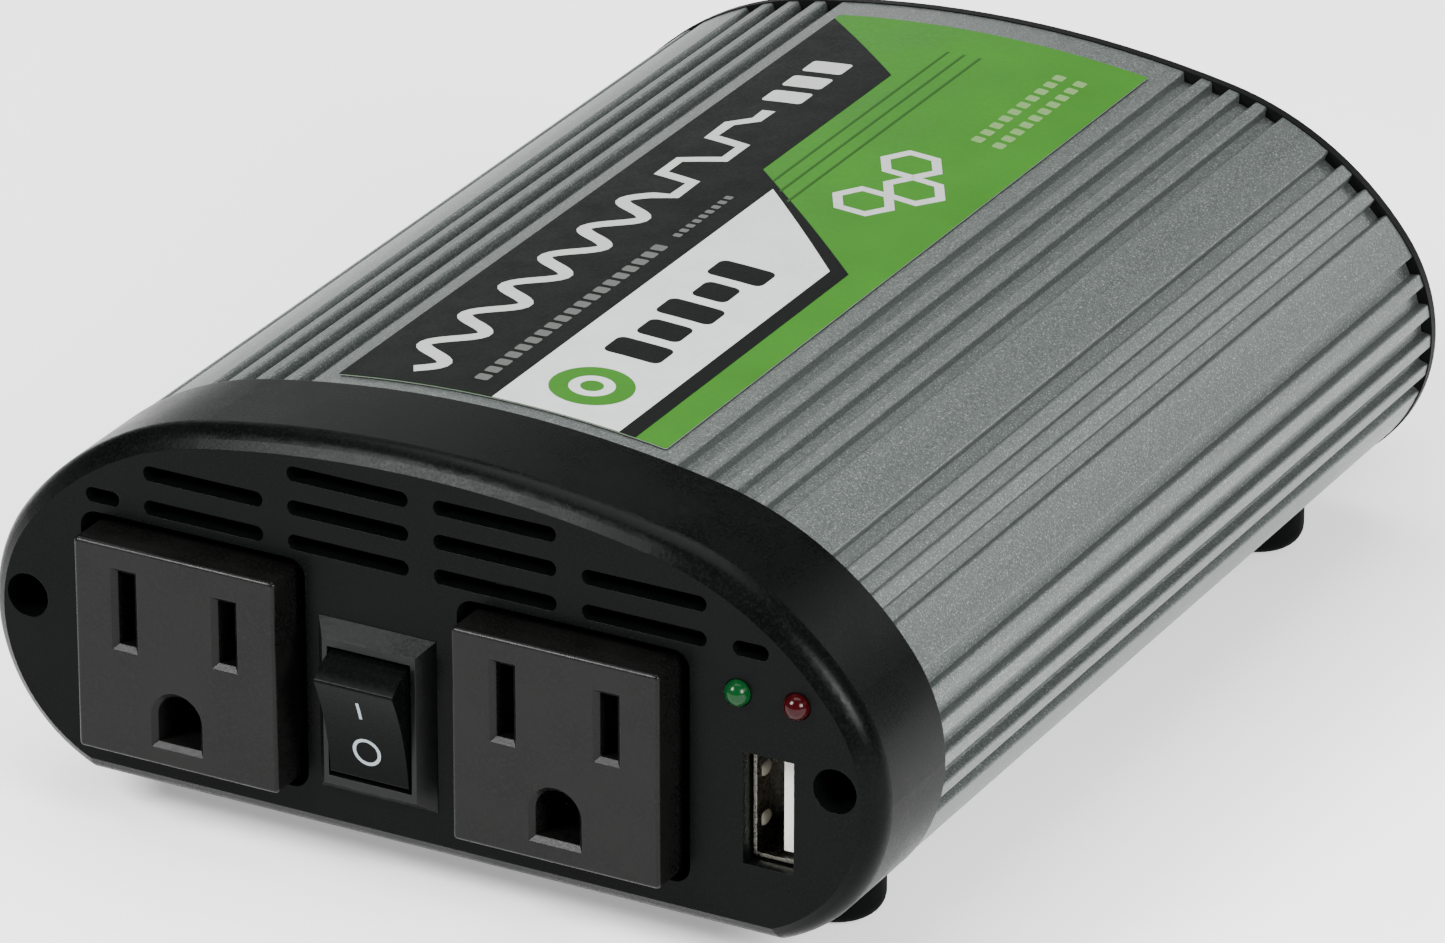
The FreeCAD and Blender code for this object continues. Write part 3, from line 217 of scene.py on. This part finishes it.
BLACK = dict(Specular_IOR_Level=0.055)
SWITCH_GRAIN = dict(mottle=0.3, grain=2800.0, grain_depth=6e-6, fleck=0.9, edge=1e-4)

FINISHES = {
    "anodised_aluminium": anodised,
    "cap_plastic": dict(tint=(0.0012, 0.0016, 0.0014), rough=0.31, mottle=0.35, grain=3000.0,
                        grain_depth=9e-6, fleck=1.2, edge=1.2e-4, Specular_IOR_Level=0.042),
    "black_plate": dict(tint=(0.003, 0.0032, 0.0032), rough=0.5, grain=1800.0, grain_depth=1.4e-5,
                        **BLACK),
    "printed_label": dict(tint=(0.0200, 0.108, 0.0064), rough=0.5, grain=1500.0, grain_depth=2e-6,
                          Specular_IOR_Level=0.1),
    "foot_rubber": dict(tint=(0.0012, 0.0015, 0.0014), rough=0.7, grain=2200.0, grain_depth=1.5e-5,
                        Specular_IOR_Level=0.03),
    "black_screw": dict(tint=(0.02, 0.02, 0.021), rough=0.38, metallic=0.8, grain=2600.0),
    "zinc_screw": dict(tint=(0.58, 0.57, 0.53), rough=0.3, metallic=1.0),
    "outlet_plastic": dict(tint=(0.0024, 0.0026, 0.0023), rough=0.31, mottle=0.4, mottle_scale=140.0,
                           grain=2400.0, grain_depth=7e-6, fleck=0.8, edge=1.4e-4,
                           Specular_IOR_Level=0.12),
    "contact_brass": dict(tint=(0.70, 0.50, 0.20), rough=0.28, metallic=1.0),
    "switch_plastic": dict(tint=(0.0010, 0.0014, 0.0012), rough=0.3, Specular_IOR_Level=0.033,
                           **SWITCH_GRAIN),
    # Nickel's tint is far darker than the metal: painted shade, for the inside of the USB shell. The
    # lamp cups use the same finish.
    "nickel": dict(tint=(0.11, 0.108, 0.10), rough=0.3, metallic=1.0),
    "tongue_plastic": dict(tint=(0.60, 0.59, 0.54), rough=0.45),
    "gold_contact": dict(tint=(0.83, 0.62, 0.27), rough=0.22, metallic=1.0),
    "green_lens": dict(tint=(0.0018, 0.031, 0.0068), rough=0.16, Transmission_Weight=0.12, IOR=1.5,
                       Specular_IOR_Level=0.1),
    "red_lens": dict(tint=(0.020, 0.0008, 0.0014), rough=0.16, Transmission_Weight=0.1, IOR=1.5,
                     Specular_IOR_Level=0.1),
    "tinned_wire": dict(tint=(0.66, 0.66, 0.64), rough=0.3, metallic=1.0),
    "circuit_board": dict(tint=(0.02, 0.13, 0.05), rough=0.4),
    "insulator_sheet": dict(tint=(0.55, 0.50, 0.38), rough=0.55),
    "wire_insulation": dict(tint=(0.02, 0.02, 0.022), rough=0.45),
    "fan_plastic": dict(tint=(0.008, 0.008, 0.009), rough=0.45, **BLACK),
    "steel": dict(tint=(0.48, 0.48, 0.47), rough=0.33, metallic=1.0),
    "bronze": dict(tint=(0.45, 0.27, 0.12), rough=0.4, metallic=1.0),
    "stator_steel": dict(tint=(0.30, 0.30, 0.31), rough=0.45, metallic=1.0),
    "post_black": dict(tint=(0.007, 0.007, 0.008), rough=0.34, **BLACK),
    "post_red": dict(tint=(0.17, 0.004, 0.0035), rough=0.36, Specular_IOR_Level=0.2),
    "copper": dict(tint=(0.72, 0.32, 0.16), rough=0.32, metallic=1.0),
    "ferrite": dict(tint=(0.03, 0.03, 0.033), rough=0.6),
    "bobbin_plastic": dict(tint=(0.03, 0.027, 0.025), rough=0.5),
    "winding_tape": dict(tint=(0.62, 0.48, 0.08), rough=0.35),
    "capacitor_sleeve": dict(tint=(0.02, 0.03, 0.07), rough=0.3),
    "transistor_plastic": dict(tint=(0.014, 0.014, 0.015), rough=0.55),
    "plain_aluminium": dict(tint=(0.62, 0.63, 0.64), rough=0.36, metallic=1.0, stretch=(1, 0.05, 1)),
    "fuse_plastic": dict(tint=(0.50, 0.28, 0.03), rough=0.25, Transmission_Weight=0.3),
    "chip_plastic": dict(tint=(0.012, 0.012, 0.013), rough=0.5),
}

finish_of = {}
for slot_name, finish in FINISHES.items():
    finish_of[slot_name] = finish() if callable(finish) else plain_finish(slot_name, **finish)

for node in nodes.values():
    for material_slot in node.material_slots:
        material_slot.material = finish_of[material_slot.material.name.split(".")[0]]
# The switch's bezel is glossier than its rocker.
nodes["switch_body"].material_slots[0].material = plain_finish(
    "bezel_plastic", (0.0015, 0.0019, 0.0017), 0.36, Specular_IOR_Level=0.16, **SWITCH_GRAIN)


def printed(name, tint, rough=0.5, gloss=0.1, **settings):
    """Ink on film, or paint on plastic."""
    return plain_finish(name, tint, rough, mottle=0.08, mottle_scale=220.0, grain_depth=1.5e-6,
                        fleck=0.12, Specular_IOR_Level=gloss, **settings)


# ---- Flat outlines, in millimetres ----

def rectangle(u0, v0, u1, v1):
    return [(u0, v0), (u1, v0), (u1, v1), (u0, v1)]


def rounded_rectangle(u0, v0, u1, v1, radius, steps=4):
    points = []
    for cu, cv, start in ((u1 - radius, v1 - radius, 0), (u0 + radius, v1 - radius, 90),
                          (u0 + radius, v0 + radius, 180), (u1 - radius, v0 + radius, 270)):
        for k in range(steps + 1):
            a = math.radians(start + 90 * k / steps)
            points.append((cu + radius * math.cos(a), cv + radius * math.sin(a)))
    return points


def disc(u, v, radius, count=40):
    return [(u + radius * math.cos(math.tau * k / count), v + radius * math.sin(math.tau * k / count))
            for k in range(count)]


def band(outer, inner):
    """The four-sided faces between two closed outlines with as many points each."""
    count = len(outer)
    return [[outer[k], outer[(k + 1) % count], inner[(k + 1) % count], inner[k]] for k in range(count)]


def stroke(points, width):
    """The faces of a line of that width along points."""
    sides = []
    for k, (u, v) in enumerate(points):
        (u0, v0), (u1, v1) = points[max(k - 1, 0)], points[min(k + 1, len(points) - 1)]
        length = math.hypot(u1 - u0, v1 - v0)
        nu, nv = (v0 - v1) / length * width / 2, (u1 - u0) / length * width / 2
        sides.append(((u + nu, v + nv), (u - nu, v - nv)))
    return [[sides[k][0], sides[k + 1][0], sides[k + 1][1], sides[k][1]] for k in range(len(sides) - 1)]


# ---- Thin printed and painted pieces ----

SAME_PLACE = 1e-4


def new_piece(name, mesh, material, body="case"):
    mesh.materials.append(material)
    piece = bpy.data.objects.new(name, mesh)
    bpy.context.scene.collection.objects.link(piece)
    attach(piece, body)
    return piece


def thin_piece(name, faces, place, outward, thickness, material, body="case", cut_step=None):
    """Faces drawn flat and then laid by place(u, v) on a surface, thickness metres thick.

    The flat faces are first cut every cut_step millimetres across u, so that they can bend."""
    bm = bmesh.new()
    for face in faces:
        bm.faces.new([bm.verts.new((u, v, 0)) for u, v in face])
    bmesh.ops.remove_doubles(bm, verts=bm.verts, dist=SAME_PLACE)
    if cut_step:
        low, high = min(v.co.x for v in bm.verts), max(v.co.x for v in bm.verts)
        cut = math.ceil(low / cut_step) * cut_step
        while cut < high:
            bmesh.ops.bisect_plane(bm, geom=bm.verts[:] + bm.edges[:] + bm.faces[:],
                                   plane_co=(cut, 0, 0), plane_no=(1, 0, 0))
            cut += cut_step
    for v in bm.verts:
        v.co = place(v.co.x, v.co.y)
    bm.normal_update()
    for face in bm.faces:
        if face.normal.dot(outward) < 0:
            face.normal_flip()
        face.smooth = True
    for edge in bm.edges:
        edge.smooth = not edge.is_boundary
    mesh = bpy.data.meshes.new(name)
    bm.to_mesh(mesh)
    bm.free()
    piece = new_piece(name, mesh, material, body)
    solid = piece.modifiers.new("thickness", "SOLIDIFY")
    solid.thickness, solid.offset = thickness, 1.0
    return piece


# ---- The printed label ----

FACE_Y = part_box("front_cap")[0].y
LABEL_THICKNESS = 0.2 * MM
SKIN_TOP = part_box("top_label")[1].z - LABEL_THICKNESS
CROWN_R = 146.887 * MM
FILM, INK = 0.08 * MM, 0.03 * MM
FILM_GAP = 1e-5        # clear space under and over the film
INK_FILL = 0.9         # the share of a layer that its ink fills


def on_crown(lift):
    """Places a point of the label, lift metres above the skin of the tube."""
    def place(u, v):
        x = u * MM
        rise = math.sqrt((CROWN_R + lift) ** 2 - x * x)
        return Vector((x, FACE_Y + v * MM, SKIN_TOP - CROWN_R + rise))
    return place


# In the plane of the label, in millimetres: u to the right of the middle, v behind the cap's face.
LABEL_SIDE, LABEL_FRONT, LABEL_REAR, LABEL_CORNER = 20.4, 17.5, 134.8, 0.3
GREEN_INSET = 0.03
BEND_STEP = 2.0
WAVE_U, WAVE_REACH, WAVE_PITCH, WAVE_WIDTH, WAVE_SAMPLE = -12.9, 2.5, 9.0, 1.7, 0.5
WAVE_FRONT, STEPS_FRONT, STEP_PITCH = 21.0, 75.0, 6.0
STEP_RUN, END_RUN = (0.6, 5.0), (1.0, 4.0)      # level stretches, from and to
DISC_U, DISC_V, DISC_RADIUS, DISC_HOLE, DISC_DOT = 6.9, 25.4, 4.75, 2.6, 1.3
BAR_U, BAR_FRONT, BAR_PITCH, BAR_LENGTH, BAR_CORNER = 6.8, 34.0, 5.9, 4.2, 0.9
BAR_HEIGHTS = (7.0, 5.4, 7.0, 4.4, 7.0)
RING_OUTER, RING_INNER = 4.0, 2.7
LINE_REAR, LINE_HALF_WIDTH = 127.6, 0.17


def wave_points():
    """The bold line of the label, from the front: a sine wave, then steps, then a level end."""
    samples = int((STEPS_FRONT - WAVE_FRONT) / WAVE_SAMPLE) + 1
    points = []
    for k in range(samples):
        v = WAVE_FRONT + WAVE_SAMPLE * k
        points.append((WAVE_U + WAVE_REACH * math.sin((v - WAVE_FRONT) * math.tau / WAVE_PITCH), v))
    v = STEPS_FRONT
    for side in (1, -1, 1, -1):
        level = WAVE_U + side * WAVE_REACH
        points += [(level, v + along) for along in STEP_RUN]
        v += STEP_PITCH
    return points + [(WAVE_U, v + along) for along in END_RUN]


def cells(us, first_v, pitch, count, width, length, corner):
    """Rows of small rounded cells, one row at each of us."""
    return [rounded_rectangle(u, v, u + width, v + length, corner) for u in us
            for v in [first_v + pitch * k for k in range(count)]]


def ink(name, faces, layer, material):
    """One colour of the label. Layer 0 lies on the film, and each further layer on the last."""
    piece = thin_piece(name, faces, on_crown(FILM + layer * INK), Vector((0, 0, 1)), INK * INK_FILL,
                       material, cut_step=BEND_STEP)


def make_label():
    green = finish_of["printed_label"]
    black = printed("label_black", (0.0032, 0.0037, 0.0035), gloss=0.045)
    silver = printed("label_silver", (0.40, 0.415, 0.41))
    white = printed("label_white", (0.32, 0.335, 0.32))
    olive = printed("label_olive", (0.010, 0.044, 0.004))
    paper = printed("label_paper", (0.15, 0.16, 0.15))
    side, front, rear = LABEL_SIDE, LABEL_FRONT, LABEL_REAR

    outline = rounded_rectangle(-side, front, side, rear, LABEL_CORNER)
    sheet = thin_piece("label_film", [outline], on_crown(FILM_GAP), Vector((0, 0, 1)),
                       FILM - 2 * FILM_GAP, paper, cut_step=BEND_STEP)
    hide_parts("top_label")

    green_field = rounded_rectangle(GREEN_INSET - side, front + GREEN_INSET, side - GREEN_INSET,
                                    rear - GREEN_INSET, LABEL_CORNER)
    ink("label_green_field", [green_field], 0, green)
    dark_field = [(-side + 0.05, front + 0.04), (16.6, front + 0.04), (16.6, 66.7), (-1.3, 83.2),
                  (-4.9, 86.6), (-4.9, 118.3), (-side + 0.05, 133.4)]
    ink("label_dark_field", [dark_field], 1, black)
    light_field = [(-1.1, front + 0.05), (14.6, front + 0.05), (14.6, 66.0), (-1.1, 81.9)]
    ink("label_light_field", [light_field], 2, silver)

    ink("label_wave", stroke(wave_points(), WAVE_WIDTH), 2, white)
    ink("label_blocks", cells((-15.6,), 106.0, 5.0, 3, 5.2, 3.4, 0.5), 2, white)
    dashes = cells((-5.4,), 21.0, 2.2, 19, 1.7, 1.5, 0.3) + cells((-4.9,), 65.0, 1.5, 9, 1.0, 0.9, 0.2)
    ink("label_dashes", dashes, 2, printed("label_grey", (0.065, 0.068, 0.065)))
    ring = band(disc(DISC_U, DISC_V, DISC_RADIUS), disc(DISC_U, DISC_V, DISC_HOLE))
    ink("label_disc", ring + [disc(DISC_U, DISC_V, DISC_DOT)], 3, green)
    bars = []
    for k, height in enumerate(BAR_HEIGHTS):
        v = BAR_FRONT + BAR_PITCH * k
        bars.append(rounded_rectangle(BAR_U - height / 2, v, BAR_U + height / 2, v + BAR_LENGTH,
                                      BAR_CORNER))
    ink("label_bars", bars, 3, black)

    lines = [rectangle(u - LINE_HALF_WIDTH, v, u + LINE_HALF_WIDTH, LINE_REAR)
             for u, v in ((2.0, 79.6), (-0.1, 81.8), (-2.2, 84.0))]
    ink("label_lines", lines, 1, olive)
    hexagons = []
    for u, v in ((9.2, 84.4), (12.6, 90.3), (9.2, 96.2)):
        hexagons += band(disc(u, v, RING_OUTER, 6), disc(u, v, RING_INNER, 6))
    ink("label_rings", hexagons, 1, white)
    rows = cells((11.6, 14.3), 106.2, 2.3, 10, 1.4, 1.5, 0.25)
    ink("label_rows", rows, 1, printed("label_pale_green", (0.10, 0.19, 0.06)))


make_label()


# ---- Marks on the rocker ----

SWITCH_X, SWITCH_Z = -5.6 * MM, 21.4 * MM
ROCKER_R, ROCKER_DISH = 7.5 * MM, 0.6 * MM
ROCKER_HALF_SPAN, ROCKER_TILT = math.radians(58.5), math.radians(15)
ON_MARK_FOOT, ON_MARK_LENGTH, ON_MARK_WIDTH = 1.9, 2.4, 0.36
OFF_MARK_V, OFF_MARK_OUTER, OFF_MARK_INNER = -2.74, 1.75, 1.35
MARK_LIFT, MARK_THICKNESS = 8e-6, 3e-5


def rocker_face(lift):
    """Places a point on the dished face: u across, v up along the dish from its middle."""
    half_chord = ROCKER_R * math.sin(ROCKER_HALF_SPAN)
    dish_r = (half_chord ** 2 + ROCKER_DISH ** 2) / (2 * ROCKER_DISH)
    chord_reach = ROCKER_R * math.cos(ROCKER_HALF_SPAN)
    centre_reach = chord_reach - ROCKER_DISH + dish_r

    def place(u, v):
        turn = v * MM / dish_r
        reach = centre_reach - (dish_r - lift) * math.cos(turn)
        rise = (dish_r - lift) * math.sin(turn)
        c, s = math.cos(ROCKER_TILT), math.sin(ROCKER_TILT)
        return Vector((SWITCH_X + u * MM, FACE_Y - reach * c - rise * s,
                       SWITCH_Z - reach * s + rise * c))
    return place


def make_rocker_marks():
    paint = printed("mark_paint", (0.22, 0.26, 0.275), 0.4)
    front = Vector((0, -1, 0))
    steps = 8
    on_mark = stroke([(0.0, ON_MARK_FOOT + ON_MARK_LENGTH * k / steps) for k in range(steps + 1)],
                     ON_MARK_WIDTH)
    off_mark = band(disc(0.0, OFF_MARK_V, OFF_MARK_OUTER), disc(0.0, OFF_MARK_V, OFF_MARK_INNER))
    for name, faces in (("rocker_on_mark", on_mark), ("rocker_off_mark", off_mark)):
        piece = thin_piece(name, faces, rocker_face(MARK_LIFT), front, MARK_THICKNESS, paint, "rocker")


make_rocker_marks()


# ---- Small metal and plastic trim ----

def turned(name, profile, centre, material, body="case", count=32):
    """A piece turned about Y: profile gives (distance along Y, radius), in metres."""
    bm = bmesh.new()
    rings = []
    for along, radius in profile:
        ring = []
        for k in range(count):
            a = math.tau * k / count
            ring.append(bm.verts.new((radius * math.cos(a), along, radius * math.sin(a))))
        rings.append(ring)
    for first, second in zip(rings, rings[1:]):
        for k in range(count):
            bm.faces.new((first[k], first[(k + 1) % count], second[(k + 1) % count], second[k]))
    for ring in (rings[0], rings[-1]):
        bm.faces.new(ring)
    bmesh.ops.recalc_face_normals(bm, faces=bm.faces)
    for face in bm.faces:
        face.smooth = len(face.verts) == 4
    bmesh.ops.translate(bm, verts=bm.verts, vec=centre)
    mesh = bpy.data.meshes.new(name)
    bm.to_mesh(mesh)
    bm.free()
    return new_piece(name, mesh, material, body)


STUD_R, STUD_TIP_R, STUD_TIP = 3.0 * MM, 1.9 * MM, 0.5 * MM
THREAD_CREST_R, THREAD_ROOT_R, THREAD_PITCH = 2.98 * MM, 2.45 * MM, 1.0 * MM
THREAD_RUN_IN = 0.6 * MM
THREAD_STEPS = 28


def make_threaded_studs():
    """M6 studs with a real helical thread, in place of the plain ones."""
    low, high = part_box("post_studs")
    zinc = finish_of["zinc_screw"]
    centre_z = (low.z + high.z) / 2
    turns = int((high.y - low.y - 2 * THREAD_RUN_IN) / THREAD_PITCH)
    last = turns * THREAD_STEPS
    for side, name in ((-1, "black_stud"), (1, "red_stud")):
        centre_x = side * (high.x - STUD_R)
        bm = bmesh.new()
        rows = []
        for k in range(last + 1):
            a = math.tau * k / THREAD_STEPS
            y = low.y + THREAD_RUN_IN + THREAD_PITCH * k / THREAD_STEPS
            fade = min(1.0, k / THREAD_STEPS, (last - k) / THREAD_STEPS)
            crest = THREAD_ROOT_R + (THREAD_CREST_R - THREAD_ROOT_R) * fade
            flank = [(THREAD_ROOT_R, -0.5), (crest, -0.1), (crest, 0.1), (THREAD_ROOT_R, 0.5)]
            rows.append([bm.verts.new((centre_x + r * math.cos(a), y + along * THREAD_PITCH,
                                       centre_z + r * math.sin(a))) for r, along in flank])
        for first, second in zip(rows, rows[1:]):
            for k in range(3):
                bm.faces.new((first[k], first[k + 1], second[k + 1], second[k]))
        bmesh.ops.recalc_face_normals(bm, faces=bm.faces)
        mesh = bpy.data.meshes.new(name)
        bm.to_mesh(mesh)
        bm.free()
        thread = new_piece(name + "_thread", mesh, zinc)
        profile = [(low.y, STUD_TIP_R), (low.y + STUD_TIP, THREAD_ROOT_R),
                   (high.y - STUD_TIP, THREAD_ROOT_R), (high.y, STUD_TIP_R)]
        core = turned(name + "_core", profile, (centre_x, 0, centre_z), zinc)
        for piece in (thread, core):
            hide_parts("post_studs")


make_threaded_studs()


def make_lamp_cups():
    """The reflector cup inside each lamp."""
    for name, node in (("green_lamp_cup", "green_led"), ("red_lamp_cup", "red_led")):
        low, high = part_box(node)
        x, z = (low.x + high.x) / 2, (low.z + high.z) / 2
        rim_y = FACE_Y + 1.2 * MM
        floor_y, foot_y = rim_y + 0.5 * MM, rim_y + 1.6 * MM
        profile = [(foot_y, 0.55 * MM), (foot_y, 0.62 * MM), (rim_y, 1.02 * MM), (rim_y, 0.94 * MM),
                   (floor_y, 0.42 * MM), (floor_y, 0.12 * MM)]
        cup = turned(name, profile, (x, 0, z), finish_of["nickel"], count=28)


make_lamp_cups()


LIP_INSETS, LIP_CORNERS, LIP_THICKNESS = (0.2, 0.6), (0.4, 0.05), 4e-5      # outer, inner
SHELL_WALL = 0.34 * MM
DIMPLE_SIZE = (0.38 * MM, 1.25 * MM, 0.85 * MM)
DIMPLE_SETBACK, DIMPLE_RISE, DIMPLE_DROP = 2.3 * MM, 3.0 * MM, 2.9 * MM
DIMPLE_BACK_CUT = 0.1 * MM


def make_socket_trim():
    """The USB shell's lip, a thin sheet of lighter nickel that is a painted highlight on the shell's
    front edge, and the two pressed dimples on its inner wall, painted lighter than the shell as a
    painted highlight.
    """
    low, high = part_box("usb_shell")
    # A lighter copy of the shell's nickel: painted highlight for the lip on its front edge.
    bright = plain_finish("nickel_lip_painted_highlight", (0.38, 0.37, 0.32), 0.3, 1.0)
    # The dimples' nickel is painted lighter than the shell's: painted highlight on the pressed dimples.
    pressed = plain_finish("pressed_nickel_painted_highlight", (0.30, 0.28, 0.23), 0.5, 0.3)
    middle_x, middle_z = (low.x + high.x) / 2, (low.z + high.z) / 2
    half_width, half_height = (high.x - low.x) / MM / 2, (high.z - low.z) / MM / 2

    def on_front(u, v):
        return Vector((middle_x + u * MM, low.y - 5e-6, middle_z + v * MM))

    def outline(inset, corner):
        return rounded_rectangle(inset - half_width, inset - half_height, half_width - inset,
                                 half_height - inset, corner)

    outer, inner = (outline(*pair) for pair in zip(LIP_INSETS, LIP_CORNERS))
    # The lip is a thin sheet that carries the painted highlight of the shell's front edge.
    lip = thin_piece("usb_lip_painted_highlight", band(outer, inner), on_front, Vector((0, -1, 0)), LIP_THICKNESS, bright)

    wall_x, dimple_y = low.x + SHELL_WALL, low.y + DIMPLE_SETBACK
    bm = bmesh.new()
    for z in (middle_z + DIMPLE_RISE, middle_z - DIMPLE_DROP):
        made = bmesh.ops.create_uvsphere(bm, u_segments=28, v_segments=18, radius=1.0)
        bmesh.ops.scale(bm, verts=made["verts"], vec=DIMPLE_SIZE)
        bmesh.ops.translate(bm, verts=made["verts"], vec=(wall_x, dimple_y, z))
    behind = [v for v in bm.verts if v.co.x < wall_x - DIMPLE_BACK_CUT]
    bmesh.ops.delete(bm, geom=behind, context="VERTS")
    for face in bm.faces:
        face.smooth = True
    mesh = bpy.data.meshes.new("usb_dimples")
    bm.to_mesh(mesh)
    bm.free()
    new_piece("usb_dimples", mesh, pressed)


make_socket_trim()


SIGN_REACH, SIGN_SIDE, SIGN_CORNER = 2.2, 0.4, 0.15
SIGN_LIFT, SIGN_THICKNESS = 4.0 * MM, 6e-5
STICKER_RADIUS, STICKER_HOLE, STICKER_DOT, STICKER_THICKNESS = 8.0, 2.4, 2.0, 1e-4


def make_rear_marks():
    """Plus and minus signs over the posts, and the round sticker on the fan's hub."""
    back = Vector((0, 1, 0))

    def from_behind(centre_x, y, centre_z):
        """Places a point on a plane seen from behind, with u to the right."""
        return lambda u, v: Vector((centre_x - u * MM, y + 1e-6, centre_z + v * MM))

    paint = printed("rear_mark_paint", (0.55, 0.55, 0.54), 0.45)
    plate_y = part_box("rear_plate")[1].y
    low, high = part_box("red_post_knob")
    plus_x, sign_z = (low.x + high.x) / 2, high.z + SIGN_LIFT
    level_bar = rounded_rectangle(-SIGN_REACH, -SIGN_SIDE, SIGN_REACH, SIGN_SIDE, SIGN_CORNER)
    upright_bar = rounded_rectangle(-SIGN_SIDE, -SIGN_REACH, SIGN_SIDE, SIGN_REACH, SIGN_CORNER)
    for name, faces, x in (("plus_mark", [level_bar, upright_bar], plus_x),
                           ("minus_mark", [level_bar], -plus_x)):
        piece = thin_piece(name, faces, from_behind(x, plate_y, sign_z), back, SIGN_THICKNESS, paint)

    low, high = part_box("fan_impeller")
    on_hub = from_behind((low.x + high.x) / 2, high.y, (low.z + high.z) / 2)
    ring = band(disc(0, 0, STICKER_RADIUS, 48), disc(0, 0, STICKER_HOLE, 48))
    foil = printed("sticker_silver", (0.42, 0.43, 0.43), 0.3, metallic=0.6)
    sticker = thin_piece("fan_sticker", [disc(0, 0, STICKER_DOT)] + ring, on_hub, back,
                         STICKER_THICKNESS, foil, "fan_rotor")


make_rear_marks()


# ---- Studio ----

FLOOR_REACH = 15.0


def area_light(name, place, target, size, power):
    data = bpy.data.lights.new(name, "AREA")
    data.shape = "RECTANGLE"
    data.size, data.size_y = size
    data.energy = power
    light = bpy.data.objects.new(name, data)
    bpy.context.scene.collection.objects.link(light)
    light.location = place
    light.rotation_euler = (Vector(target) - Vector(place)).to_track_quat("-Z", "Y").to_euler()


def make_studio():
    world = bpy.data.worlds.new("studio")
    world.use_nodes = True
    background = world.node_tree.nodes["Background"]
    background.inputs["Color"].default_value = (0.95, 0.98, 1.0, 1.0)
    background.inputs["Strength"].default_value = 0.15
    bpy.context.scene.world = world
    area_light("key_softbox", (-0.67, -0.98, 1.01), (0, -0.03, 0.03), (0.50, 0.50), 47.0)
    area_light("top_softbox", (-0.15, 0.42, 1.8), (0, 0.05, 0), (1.5, 1.6), 48.0)
    area_light("back_card", (0.30, 1.45, 0.24), (0.05, 0.05, 0.03), (3.0, 0.46), 5.0)
    area_light("back_left_card", (-0.95, 1.30, 0.52), (0, 0, 0.05), (0.8, 0.8), 1.8)
    area_light("side_card", (0.62, 1.20, 0.66), (0.05, 0.03, 0.03), (0.45, 0.45), 2.5)
    area_light("right_softbox", (0.58, -0.30, 0.36), (0.03, -0.05, 0.02), (0.26, 0.26), 10.0)
    mesh = bpy.data.meshes.new("floor")
    corners = [(u, v, 0) for u, v in rectangle(-FLOOR_REACH, -FLOOR_REACH, FLOOR_REACH, FLOOR_REACH)]
    mesh.from_pydata(corners, [], [(0, 1, 2, 3)])
    floor = bpy.data.objects.new("floor", mesh)
    bpy.context.scene.collection.objects.link(floor)
    mesh.materials.append(plain_finish(
        "floor_paper", (0.90, 0.90, 0.90), 0.8, mottle=0.01, mottle_scale=3.0, grain=900.0,
        grain_depth=4e-6, Specular_IOR_Level=0.1, Emission_Color=(1, 1, 1, 1), Emission_Strength=0.4))


make_studio()
